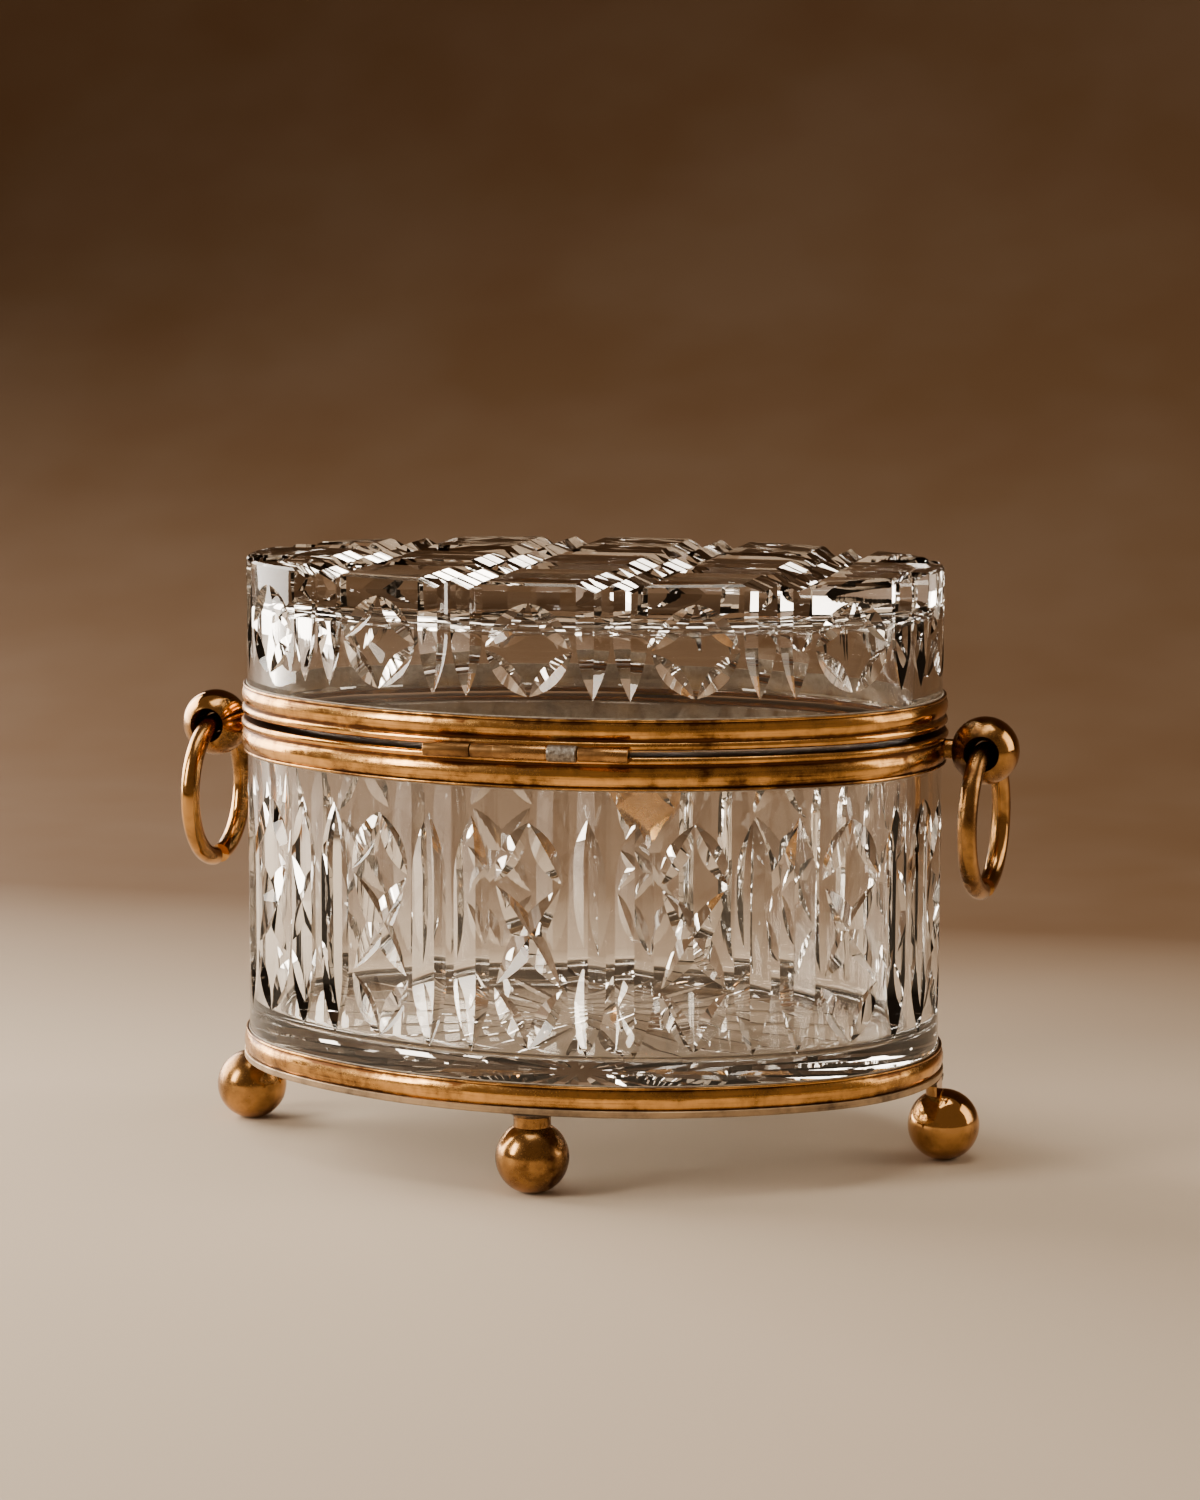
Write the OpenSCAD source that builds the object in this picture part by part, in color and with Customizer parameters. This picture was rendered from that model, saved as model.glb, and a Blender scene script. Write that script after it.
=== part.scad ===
// Oval cut-glass casket: a thick cut bowl and a hinged cut lid, both bound in gilt brass
// rims, standing on four ball feet, with a hanging ring at each end and a small lock.
// Origin: middle of the oval, on the surface the feet stand on. +Z is up. The hinge side
// faces -Y, the lock side +Y, and +X is to the right seen from the hinge side.

/* [Oval plan] */
// Half length of the glass, middle to end
glass_half_length = 73.9; // [71:0.1:78]
// Half width of the glass, middle to side
glass_half_width = 52.5; // [50:0.1:56]

/* [Glass] */
// Thickness of the glass walls
wall = 6; // [5:0.1:7.5]
// Thickness of the bowl's floor
floor_t = 8.5; // [6:0.1:12]
// Height of the bowl's glass
bowl_h = 70.5; // [69:0.1:80]
// Height of the lid's glass
lid_h = 31.7; // [30.5:0.1:38]
// Thickness of the lid's top
lid_top_t = 8; // [6:0.1:12]
// Radius inside the corners of the hollows
hollow_radius = 3; // [1.5:0.1:5]
// Bevel round the lid's top edge
lid_bevel = 0.5; // [0.2:0.1:1]

/* [Cut pattern] */
// Repeats of leaf column and flute pair round the oval
repeats = 12; // [8, 12]
// Half angle of the cutting wheel's vee edge
vee_half_angle = 62; // [58:0.5:66]
// Radius of the wheel that cuts the flutes
flute_wheel_r = 45; // [35:1:60]
// Width of a flute in the bowl
bowl_flute_w = 8; // [6:0.1:9]
// Distance between the two flutes of a pair in the bowl
bowl_flute_pitch = 9.5; // [8.5:0.1:10.5]
// Start of the bowl's flutes above its underside
bowl_flute_start = 10.6; // [9:0.1:13]
// Length of the bowl's flutes
bowl_flute_len = 48; // [42:0.1:49]
// Width of a leaf column in the bowl, side tip to side tip
bowl_leaf_w = 14; // [12:0.1:15]
// Start of the leaf columns above the bowl's underside
bowl_leaf_start = 11.7; // [10:0.1:13]
// Length of the leaf columns
bowl_leaf_len = 46.1; // [42:0.1:48]
// Height of the end leaves in a column, tip to shoulder
bowl_leaf_end = 12.4; // [11:0.1:14]
// Width of the end leaves cut in the bowl
bowl_leaf_cut_w = 4.7; // [4:0.1:5.5]
// Width of the two long leaves that cross in each column
bowl_cross_cut_w = 5.9; // [5:0.1:6.2]
// Width of a flute in the lid
lid_flute_w = 7; // [6:0.1:7.4]
// Distance between the two flutes of a pair in the lid
lid_flute_pitch = 7.4; // [7:0.1:8.5]
// Start of the lid's flutes above its lower edge
lid_flute_start = 8.7; // [7.5:0.1:12]
// Width of the lid's leaf diamond
lid_leaf_w = 18.2; // [16:0.1:19]
// Height of the lid's leaf diamond
lid_leaf_h = 19.1; // [17:0.1:20]
// Middle of the lid's leaf diamond above the lid's lower edge
lid_leaf_mid = 18.5; // [17:0.1:19.5]
// Width of one leaf cut in the lid
lid_leaf_cut_w = 4.1; // [3.5:0.1:5]
// Rays of the star cut in the underside
star_rays = 24; // [16:4:28]
// Distance of the rays' inner tips from the middle
star_eye_r = 6; // [5:0.1:9]
// Width of a ray at its widest
star_ray_w = 3.6; // [2.5:0.1:4]

/* [Rims] */
// Thickness of the plaster bedding between glass and brass
bedding_t = 0.2; // [0.1:0.05:0.4]
// How far the bedding shows past the brass
bedding_show = 0.25; // [0.1:0.05:0.4]
// Thickness of the rims' sleeves
sleeve_t = 0.35; // [0.3:0.05:0.5]
// Thickness of the flanges over the glass edges
flange_t = 1; // [0.95:0.05:1.3]
// How far the bowl rim's mouldings stand out from the glass
bowl_rim_proud = 1.3; // [1.1:0.05:1.5]
// How far the lid rim's mouldings stand out from the glass
lid_rim_proud = 1.1; // [0.95:0.05:1.3]
// Small bead beside the parting line
bead_h = 1.7; // [1.4:0.1:2]
// Groove between the small bead and the large roll
groove_h = 0.4; // [0.2:0.1:0.8]
// Large roll of the bowl's rim
bowl_roll_h = 4.2; // [3.8:0.1:4.6]
// Large roll of the lid's rim
lid_roll_h = 3.4; // [3:0.1:4]
// Fillet at the outer edge of both rims
edge_fillet_h = 0.6; // [0.4:0.1:0.8]
// Gap between the closed rims
parting_gap = 1.2; // [1:0.05:1.5]

/* [Base] */
// Thickness of the base plate
plate_t = 1.4; // [1.2:0.1:2]
// Width of the ledge under the glass
plate_ledge = 9; // [7:0.1:14]
// How far the base plate and its band stand out from the glass
base_proud = 1.2; // [1:0.05:1.4]
// Roll of the base band
base_roll_h = 4.2; // [4:0.1:5.5]

/* [Feet] */
// Radius of the ball feet
foot_ball_r = 7.5; // [7:0.1:8]
// Flat worn under each foot
foot_flat = 0.3; // [0.2:0.05:0.5]
// Height of the base plate's underside
foot_h = 16.8; // [16.4:0.1:18.5]
// Radius of the collar on each foot
foot_collar_r = 3.8; // [3:0.1:4.5]
// Distance of the end feet outside the glass
foot_end_out = 2; // [0:0.1:2.5]
// Distance of the side feet inside the glass
foot_side_in = 3.6; // [1:0.1:4.5]

/* [Hinge] */
// Radius of the hinge barrel
barrel_r = 1.45; // [1.3:0.05:1.6]
// Radius of the hinge pin
pin_r = 0.6; // [0.5:0.05:0.8]
// Radial play of the pin in the lid's knuckle
pin_play = 0.05; // [0.02:0.01:0.08]
// Length of the left knuckle
knuckle_left = 9.6; // [7:0.1:12]
// Length of the lid's knuckle
knuckle_lid = 21.8; // [16:0.1:26]
// Length of the right knuckle
knuckle_right = 10.2; // [7:0.1:12]
// Play between knuckles
knuckle_play = 0.15; // [0.1:0.05:0.3]
// Distance of the hinge axis outside the bowl rim
axis_out = 0.5; // [0.35:0.05:0.8]
// Thickness of the hinge leaves
leaf_t = 0.8; // [0.6:0.05:0.85]
// Reach of the hinge leaves over the glass edge
leaf_reach = 3; // [2:0.1:4.5]
// Clearance of the notch round the barrel
notch_play = 0.3; // [0.2:0.05:0.5]

/* [Handles] */
// Radius of the handle balls
handle_ball_r = 7.05; // [6.8:0.05:7.4]
// Distance of the handle balls' middles from the glass
handle_out = 9.5; // [9.2:0.1:10.5]
// Distance of the handle balls' middles below the bowl rim's top
handle_drop = 3.4; // [3:0.1:4.2]
// Radius of the neck behind each ball
neck_r = 1.9; // [1.5:0.1:2]
// Radius of the ring's wire
ring_wire_r = 2; // [1.8:0.05:2.2]
// Radius of the ring to the middle of the wire
ring_r = 14.5; // [13.5:0.1:16]
// Play of the ring in the ball
ring_play = 0.12; // [0.06:0.02:0.2]
// Opening between the ends of the ring's wire
ring_opening = 3.5; // [2:0.1:6]

/* [Lock] */
// Width of the shield
shield_w = 21; // [20:0.1:24]
// Height of the shield's straight part
shield_straight = 12; // [11:0.1:14]
// Length of the shield's point below it
shield_point = 23.5; // [20:0.1:26]
// Depth of the lock case
case_depth = 3.7; // [3.5:0.1:4.2]
// Wall of the lock case
case_wall = 0.6; // [0.5:0.05:0.8]
// Thickness of the shield plate
shield_t = 0.9; // [0.8:0.05:1.2]
// Width of the catch on the lid
catch_w = 15; // [13:0.1:17]
// Width of the catch's tongue
tongue_w = 10; // [9:0.1:10.5]
// Thickness of the catch's tongue
tongue_t = 1.4; // [1.2:0.05:1.5]
// Length of the tongue below the parting line
tongue_len = 7.4; // [7:0.1:8]
// Throw of the bolt
bolt_throw = 2.3; // [2:0.1:2.5]
// Gap between the tongue and the back of the case
tongue_back = 0.3; // [0.2:0.05:0.4]
// Room in front of the tongue for its swing
tongue_swing = 0.55; // [0.45:0.05:0.7]
// Distance of the case's top below the bowl rim's
case_drop = 0.3; // [0.2:0.05:0.5]
// Thickness of the bolt
bolt_t = 1.5; // [1.2:0.1:1.8]
// Height of the bolt's nose
bolt_nose_h = 2; // [1.6:0.1:2.2]
// Distance of the nose's middle below the bowl rim's top
bolt_drop = 4; // [3.8:0.1:4.2]
// Height of the bolt's bar
bolt_bar_h = 2.2; // [1.8:0.1:2.4]
// Height of the bar's lower edge above the keyhole
bolt_bar_rise = 4; // [3.6:0.1:4.4]
// Width of the notch that the key turns in
talon_w = 2.6; // [2:0.1:3]
// Height of that notch
talon_h = 1; // [0.8:0.1:1.4]
// Play round the bolt and its nose
bolt_play = 0.2; // [0.15:0.05:0.25]
// Thickness of the bolt's spring
spring_t = 0.3; // [0.2:0.05:0.4]
// Width of the bolt's spring
spring_w = 1.2; // [1:0.1:1.5]
// Distance of the spring's free end from the middle
spring_end = 2; // [1:0.5:4]
// Distance of the keyhole below the shield's shoulders
key_drop = 2; // [1.5:0.1:2.5]
// Radius of the keyhole's round part
keyhole_r = 1.7; // [1.5:0.05:2]
// Width of the keyhole's slot
keyhole_slot_w = 1.3; // [1.1:0.05:1.6]
// Length of the slot below the keyhole's middle
keyhole_slot = 5.2; // [4.5:0.1:6]
// Radius of the pin that a hollow key turns on
key_pin_r = 0.75; // [0.6:0.05:0.9]
// Distance of that pin's end behind the shield's face
key_pin_in = 0.3; // [0.2:0.05:0.6]
// Radius of the shield screws' heads
screw_head_r = 1.2; // [1:0.05:1.4]
// Height of the shield screws' heads
screw_head_h = 0.4; // [0.3:0.05:0.6]
// Radius of the shield screws' shanks
screw_r = 0.6; // [0.5:0.05:0.7]
// Length of the screws' shanks in the case
screw_len = 2; // [1.6:0.1:2.4]
// Wall round each screw in the case
screw_boss = 1; // [0.8:0.05:1.2]
// Distance of the upper screws from the shield's sides
screw_edge = 2.6; // [2.5:0.1:3]
// Distance of the upper screws below the shield's shoulders
screw_drop = 3; // [2:0.1:3.5]
// Height of the lower screw above the shield's point
screw_low = 6.5; // [6:0.1:8]
// Play of the screws and the bolt's back
fit = 0.02; // [0.01:0.01:0.04]

/* [Hidden] */
$fn = 96;

brass = "#b98a42";
dark_brass = "#8a632c";
steel = "#8b8d8f";
plaster = "#c9c0b2";
glass = [0.86, 0.9, 0.92, 0.45];

// Four-arc oval. Each long side's arc is centred beyond the middle and each end's arc on
// the long axis. They meet along the slope of a 3-4-5 triangle, with a common tangent.
half_difference = glass_half_length - glass_half_width;
side_centre = 2 * half_difference;
end_centre = 1.5 * half_difference;
side_r = glass_half_width + side_centre;
end_r = glass_half_length - end_centre;
meeting_angle = atan(4 / 3);
side_arc_half_angle = 90 - meeting_angle;
side_run = side_r * side_arc_half_angle * PI / 180;
end_run = end_r * (90 - side_arc_half_angle) * PI / 180;
perimeter = 4 * (side_run + end_run);
pitch = perimeter / repeats;

// Levels, from the surface that the feet stand on
bowl_z = foot_h + plate_t;
bowl_top = bowl_z + bowl_h;
bowl_rim_top = bowl_top + flange_t;
lid_rim_z = bowl_rim_top + parting_gap;
lid_z = lid_rim_z + flange_t;
lid_top = lid_z + lid_h;
roll_start = bead_h + groove_h;
bowl_rim_h = roll_start + bowl_roll_h + edge_fillet_h;
lid_rim_h = roll_start + lid_roll_h + edge_fillet_h;
base_band_h = base_roll_h + edge_fillet_h;
sleeve_out = bedding_t + sleeve_t;
arc_steps = 8;
far = 200;
past = 1;
vee_clear = 0.15;
leaf_gap = 0.25;
seat_depth = 0.05;

// Hinge
hinge_y = -(glass_half_width + bowl_rim_proud + axis_out);
hinge_z = bowl_rim_top + parting_gap / 2;
hinge_len = knuckle_left + knuckle_lid + knuckle_right + 2 * knuckle_play;
left_x = -hinge_len / 2;
lid_x = left_x + knuckle_left + knuckle_play;
right_x = lid_x + knuckle_lid + knuckle_play;
leaf_end = -glass_half_width + leaf_reach;

// Handles
handle_x = glass_half_length + handle_out;
handle_z = bowl_rim_top - handle_drop;
neck_seat_x = glass_half_length + sleeve_out - seat_depth;

// Lock
lock_y = glass_half_width + sleeve_out + seat_depth;
case_front = lock_y + case_depth;
case_top = bowl_rim_top - case_drop;
shoulder_z = case_top - shield_straight;
shield_front = case_front + shield_t;
slot_y = lock_y + case_wall + tongue_back;
bolt_back = lock_y + case_wall + fit;
bolt_z = bowl_rim_top - bolt_drop;
key_z = shoulder_z - key_drop;
bolt_bar_z = key_z + bolt_bar_rise;
screw_spots = [[screw_edge - shield_w / 2, shoulder_z - screw_drop],
               [shield_w / 2 - screw_edge, shoulder_z - screw_drop],
               [0, shoulder_z - shield_point + screw_low]];

// ---- the oval ----

// Sweeps a profile round the oval, arc by arc: the first child has its x from the middle of a
// side's arc, the second from the middle of an end's arc, and y is the height. Each arc is
// taken from a full turn by a wedge, so that neighbours meet in the same planes.
module oval_arcs() {
    for (flip = [0, 1]) {
        mirror([0, flip, 0]) translate([0, side_centre, 0]) intersection() {
            rotate_extrude() children(0);
            wedge([-0.6, -0.8], [0.6, -0.8]);
        }
        mirror([flip, 0, 0]) translate([end_centre, 0, 0]) intersection() {
            rotate_extrude() children(1);
            wedge([0.6, -0.8], [0.6, 0.8]);
        }
    }
}

// Upright wedge between two directions
module wedge(from, to) {
    linear_extrude(far) polygon([[0, 0], far * from, far * to]);
}

// Sweeps a profile whose x is 0 at the glass's outline and positive outwards
module oval_sweep() {
    oval_arcs() {
        translate([side_r, 0]) children();
        translate([end_r, 0]) children();
    }
}

// A solid oval whose side stands `grow` outside the glass's outline. Its upper or lower
// edge is rounded or bevelled by what is cut from the corner of its profile.
module oval_plug(grow, low, high, low_radius = 0, high_radius = 0, high_bevel = 0) {
    oval_arcs() {
        plug_profile(side_r + grow, low, high, low_radius, high_radius, high_bevel);
        plug_profile(end_r + grow, low, high, low_radius, high_radius, high_bevel);
    }
}

module plug_profile(r, low, high, low_radius, high_radius, bevel) {
    low_corner = low_radius > 0 ? arc_points(r - low_radius, low + low_radius, low_radius, -90, 0)
        : [[r, low]];
    high_corner = high_radius > 0
        ? arc_points(r - high_radius, high - high_radius, high_radius, 0, 90)
        : [[r, high - bevel], [r - bevel, high]];
    polygon(concat([[0, low]], low_corner, high_corner, [[0, high]]));
}

// Points along an arc, from one angle to another
function arc_points(x, y, r, from, to) = [for (i = [0 : arc_steps])
    let (angle = from + (to - from) * i / arc_steps) [x + r * cos(angle), y + r * sin(angle)]];

// Where a distance along the outline from the middle of the rear lies
function on_outline(s) = s - perimeter * floor(s / perimeter);
function outline_part(s) =
    s < side_run ? 0 : s < side_run + 2 * end_run ? 1 :
    s < 3 * side_run + 2 * end_run ? 2 : s < 3 * side_run + 4 * end_run ? 3 : 4;
function part_start(i) = [0, side_run, side_run + 2 * end_run, 3 * side_run + 2 * end_run,
                          3 * side_run + 4 * end_run][i];
function part_turn(i) = [0, side_arc_half_angle, 180 - side_arc_half_angle,
                         180 + side_arc_half_angle, 360 - side_arc_half_angle][i];
function part_centre(i) = [[0, side_centre], [end_centre, 0], [0, -side_centre],
                           [-end_centre, 0], [0, side_centre]][i];
function part_r(i) = i == 1 || i == 3 ? end_r : side_r;
function outline_turn(s) = let (i = outline_part(s))
    part_turn(i) + (s - part_start(i)) / part_r(i) * 180 / PI;
function outline_point(s) = let (i = outline_part(s), turn = outline_turn(s))
    part_centre(i) + part_r(i) * [sin(turn), -cos(turn)];

// Puts what is drawn at the origin, with -Y outwards, on the outline
module on_wall(distance) {
    s = on_outline(distance);
    point = outline_point(s);
    translate([point[0], point[1], 0]) rotate([0, 0, outline_turn(s)]) children();
}

// ---- wheel cuts, drawn with -Y outwards ----

// Sizes that two cuts share are rounded to a thousandth of a millimetre
function rounded(size) = round(size * 1000) / 1000;

function cut_depth(width) = rounded(width / 2 / tan(vee_half_angle));

// The vee edge in section, its point at the origin and opening to the left
module vee(depth) {
    opening = depth + vee_clear;
    polygon([[0, 0], [-opening, opening * tan(vee_half_angle)],
             [-opening, -opening * tan(vee_half_angle)]]);
}

// The part of a wheel's edge from one angle to another, sunk to a depth at angle 0
module wheel_edge(wheel_r, depth, from, to) {
    translate([0, depth - wheel_r, 0]) rotate([90, 0, 90]) rotate([0, 0, from])
        rotate_extrude(angle = to - from) translate([wheel_r, 0]) vee(depth);
}

// Angle at which a wheel's edge leaves the glass
function clear_angle(wheel_r, depth) = acos(1 - (depth + vee_clear) / wheel_r);

// One pointed leaf between two points of the wall, each given as [along, up]
module leaf_cut(from, to, width) {
    along = to[0] - from[0];
    up = to[1] - from[1];
    len = norm([along, up]) - 2 * leaf_gap;
    depth = cut_depth(width);
    wheel_r = len * len / 8 / depth + depth / 2;
    angle = clear_angle(wheel_r, depth);
    translate([(from[0] + to[0]) / 2, 0, (from[1] + to[1]) / 2])
        rotate([0, atan2(along, up), 0]) wheel_edge(wheel_r, depth, -angle, angle);
}

// Upright flute, pointed below, and pointed or open above
module flute_cut(low, high, width, open_top = false) {
    depth = cut_depth(width);
    angle = clear_angle(flute_wheel_r, depth);
    run = rounded(sqrt(pow(flute_wheel_r, 2) - pow(flute_wheel_r - depth, 2)));
    straight_top = open_top ? high + past : high - run;
    translate([0, 0, low + run]) mirror([0, 0, 1]) wheel_edge(flute_wheel_r, depth, 0, angle);
    translate([0, 0, low + run]) linear_extrude(straight_top - low - run)
        translate([0, depth]) rotate(90) vee(depth);
    if (!open_top)
        translate([0, 0, straight_top]) wheel_edge(flute_wheel_r, depth, 0, angle);
}

// ---- glass ----

// Column of leaves: two short ones above, two long ones that cross, and two short ones below
module bowl_leaves() {
    low = bowl_z + bowl_leaf_start;
    high = low + bowl_leaf_len;
    low_tip = low + bowl_leaf_end;
    high_tip = high - bowl_leaf_end;
    for (side = [-1, 1]) {
        tip = side * bowl_leaf_w / 2;
        leaf_cut([0, high], [tip, high_tip], bowl_leaf_cut_w);
        leaf_cut([-tip, high_tip], [tip, low_tip], bowl_cross_cut_w);
        leaf_cut([tip, low_tip], [0, low], bowl_leaf_cut_w);
    }
}

module glass_bowl() {
    flute_low = bowl_z + bowl_flute_start;
    color(glass) difference() {
        oval_plug(0, bowl_z, bowl_top);
        oval_plug(-wall, bowl_z + floor_t, bowl_top + past, low_radius = hollow_radius);
        for (i = [0 : repeats - 1]) {
            on_wall(i * pitch) bowl_leaves();
            for (side = [-0.5, 0.5]) on_wall((i + 0.5) * pitch + side * bowl_flute_pitch)
                flute_cut(flute_low, flute_low + bowl_flute_len, bowl_flute_w);
        }
        star_cut();
    }
}

// Star of rays ground into the bowl's underside
module star_cut() {
    for (i = [0 : star_rays - 1]) {
        angle = (i + 0.5) * 360 / star_rays;
        reach = norm([(glass_half_length - plate_ledge) * cos(angle),
                      (glass_half_width - plate_ledge) * sin(angle)]);
        translate([0, 0, bowl_z]) rotate([0, 0, angle]) rotate([90, 0, 0])
            leaf_cut([star_eye_r, 0], [reach, 0], star_ray_w);
    }
}

module glass_lid() {
    color(glass) difference() {
        oval_plug(0, lid_z, lid_top, high_bevel = lid_bevel);
        oval_plug(-wall, lid_z - past, lid_top - lid_top_t, high_radius = hollow_radius);
        for (i = [0 : repeats - 1]) {
            on_wall(i * pitch) translate([0, 0, lid_z + lid_leaf_mid]) lid_leaves();
            for (side = [-0.5, 0.5]) on_wall((i + 0.5) * pitch + side * lid_flute_pitch)
                flute_cut(lid_z + lid_flute_start, lid_top, lid_flute_w, open_top = true);
        }
        top_grooves();
    }
}

// Diamond of four leaves
module lid_leaves() {
    for (side = [-1, 1], up = [-1, 1])
        leaf_cut([side * lid_leaf_w / 2, 0], [0, up * lid_leaf_h / 2], lid_leaf_cut_w);
}

// Grooves over the lid's top that join the flutes of the long sides across the lid, and
// those nearest the ends along it
module top_grooves() {
    for (s = [pitch / 2, 3 * pitch / 2], side = [-0.5, 0.5], across = [-1, 1]) {
        point = outline_point(s + side * lid_flute_pitch);
        translate([across * point[0], 0, lid_top]) groove_cut();
    }
    quarter = perimeter / 4;
    for (side = [-0.5, 0.5], along = [-1, 1]) {
        point = outline_point(quarter - pitch / 2 + side * lid_flute_pitch);
        translate([0, along * point[1], lid_top]) rotate([0, 0, 90]) groove_cut();
    }
}

// Long vee groove along Y in a face at Z = 0
module groove_cut() {
    depth = cut_depth(lid_flute_w);
    translate([0, far / 2, -depth]) rotate([90, 0, 0]) linear_extrude(far)
        rotate(-90) vee(depth);
}

// ---- brass mounts ----

// Rounded bead on a sleeve: from a height, its own height, and how far it stands out
module bead(from, h, proud) {
    rise = proud - sleeve_out;
    r = (h * h / 4 + rise * rise) / (2 * rise);
    half_angle = asin(h / 2 / r);
    polygon(concat([[bedding_t, from]],
                   arc_points(proud - r, from + h / 2, r, -half_angle, half_angle),
                   [[bedding_t, from + h]]));
}

// Section of a rim, its flange at the bottom, drawn upwards from the parting line
module rim_section(roll_h, height, proud) {
    translate([bedding_t, 0]) square([sleeve_t, height]);
    translate([-wall, 0]) square([wall + sleeve_out, flange_t]);
    bead(0, bead_h, proud);
    bead(roll_start, roll_h, proud);
    bead(height - edge_fillet_h, edge_fillet_h, sleeve_out + (proud - sleeve_out) / 2);
}

// Round notch that clears the hinge barrel in both rims
module barrel_notch() {
    translate([left_x - notch_play, hinge_y, hinge_z]) rotate([0, 90, 0])
        cylinder(r = barrel_r + notch_play, h = hinge_len + 2 * notch_play);
}

// Box that a hinge leaf fills, let into a flange
module leaf_space(from, len, low) {
    translate([from, hinge_y, low]) cube([len, leaf_end - hinge_y, leaf_t]);
}

module bowl_rim() {
    color(brass) difference() {
        oval_sweep() translate([0, bowl_rim_top]) mirror([0, 1])
            rim_section(bowl_roll_h, bowl_rim_h, bowl_rim_proud);
        barrel_notch();
        leaf_space(left_x, knuckle_left, bowl_rim_top - leaf_t);
        leaf_space(right_x, knuckle_right, bowl_rim_top - leaf_t);
        for (end = [-1, 1]) handle_seat(end);
        translate([-shield_w / 2, lock_y, bowl_rim_top - bowl_rim_h - past])
            cube([shield_w, far, bowl_rim_h + 2 * past]);
    }
}

module lid_rim() {
    color(brass) difference() {
        oval_sweep() translate([0, lid_rim_z])
            rim_section(lid_roll_h, lid_rim_h, lid_rim_proud);
        barrel_notch();
        leaf_space(lid_x, knuckle_lid, lid_rim_z);
        translate([-catch_w / 2, lock_y, lid_rim_z - past])
            cube([catch_w, far, lid_rim_h + 2 * past]);
    }
}

module bowl_bedding() {
    color(plaster) oval_sweep()
        translate([0, bowl_rim_top - bowl_rim_h - bedding_show])
            square([bedding_t, bowl_rim_h - flange_t + bedding_show]);
}

module lid_bedding() {
    color(plaster) oval_sweep() translate([0, lid_z])
        square([bedding_t, lid_rim_h - flange_t + bedding_show]);
}

module base_bedding() {
    color(plaster) oval_sweep() translate([0, bowl_z])
        square([bedding_t, base_band_h + bedding_show]);
}

// Flat ring that the glass stands on and the feet are soldered to
module base_plate() {
    color(dark_brass) difference() {
        oval_plug(base_proud, foot_h, bowl_z);
        oval_plug(-plate_ledge, foot_h - past, bowl_z + past);
    }
}

module base_rim() {
    color(brass) oval_sweep() translate([0, bowl_z]) {
        translate([bedding_t, 0]) square([sleeve_t, base_band_h]);
        bead(0, base_roll_h, base_proud);
        bead(base_roll_h, edge_fillet_h, sleeve_out + (base_proud - sleeve_out) / 2);
    }
}

// Ball foot with a flat below and a collar that is soldered to the base plate
module foot(x, y) {
    middle = foot_ball_r - foot_flat;
    color(brass) translate([x, y, 0]) intersection() {
        union() {
            translate([0, 0, middle]) sphere(foot_ball_r);
            translate([0, 0, middle]) cylinder(r = foot_collar_r, h = foot_h - middle);
        }
        translate([-far / 2, -far / 2, 0]) cube(far);
    }
}

// ---- hinge ----

module knuckle(from, len, bore_r, leaf_z) {
    color(brass) difference() {
        union() {
            translate([from, hinge_y, hinge_z]) rotate([0, 90, 0])
                cylinder(r = barrel_r, h = len);
            leaf_space(from, len, leaf_z);
        }
        translate([from - past, hinge_y, hinge_z]) rotate([0, 90, 0])
            cylinder(r = bore_r, h = len + 2 * past);
    }
}

module hinge_pin() {
    color(steel) translate([left_x, hinge_y, hinge_z]) rotate([0, 90, 0])
        cylinder(r = pin_r, h = hinge_len);
}

// ---- handles ----

// Flat round seat for a handle's neck in the bowl's rim
module handle_seat(end) {
    translate([end * neck_seat_x, 0, handle_z])
        rotate([0, end * 90, 0]) cylinder(r = neck_r, h = far);
}

// Ball with a bell-mouthed bore, so that the ring can swing right round in it
module handle_ball(end) {
    color(brass) translate([end * handle_x, 0, handle_z]) {
        rotate([90, 0, 0]) rotate_extrude() intersection() {
            circle(handle_ball_r);
            translate([ring_r, 0]) circle(ring_r - ring_wire_r - ring_play);
        }
        rotate([0, -end * 90, 0]) translate([0, 0, handle_ball_r - past])
            cylinder(r = neck_r, h = handle_x - neck_seat_x - handle_ball_r + past);
    }
}

// Split ring of round wire that hangs through the ball
module handle_ring(end) {
    half_gap = asin(ring_opening / 2 / ring_r);
    color(brass) translate([end * handle_x, 0, handle_z - ring_r])
        rotate([90, 0, 90]) rotate([0, 0, half_gap - 90])
            rotate_extrude(angle = 360 - 2 * half_gap)
                translate([ring_r, 0]) circle(ring_wire_r);
}

// ---- lock ----

// Outline of the shield, drawn in by a margin: straight above, pointed below
module shield_outline(margin = 0) {
    w = shield_w / 2;
    r = (shield_point * shield_point + w * w) / (2 * w);
    translate([margin - w, 0]) square([2 * (w - margin), shield_straight - margin]);
    intersection() {
        translate([w - r, 0]) circle(r - margin);
        translate([r - w, 0]) circle(r - margin);
        translate([-w, -far]) square([2 * w, far]);
    }
}

// Stands a shape drawn in X and Z up on the lock's side, from a depth to another
module lock_slab(from, to) {
    translate([0, to, 0]) rotate([90, 0, 0]) linear_extrude(to - from) children();
}

// Shank of a shield screw, from a depth to another, with a play round it
module screw_shanks(from, to, play = 0) {
    for (spot = screw_spots) lock_slab(from, to) translate(spot) circle(screw_r + play);
}

module lock_case() {
    color(dark_brass) difference() {
        union() {
            difference() {
                lock_slab(lock_y, case_front) translate([0, shoulder_z]) shield_outline();
                lock_slab(lock_y + case_wall, case_front + past)
                    translate([0, shoulder_z]) shield_outline(case_wall);
            }
            screw_shanks(lock_y + case_wall / 2, case_front, screw_boss);
        }
        screw_shanks(case_front - screw_len, case_front + past, fit);
        translate([-tongue_w / 2 - bolt_play, slot_y - bolt_play, case_top - case_wall - past])
            cube([tongue_w + 2 * bolt_play, tongue_t + bolt_play + tongue_swing,
                  case_wall + 2 * past]);
    }
}

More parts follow.
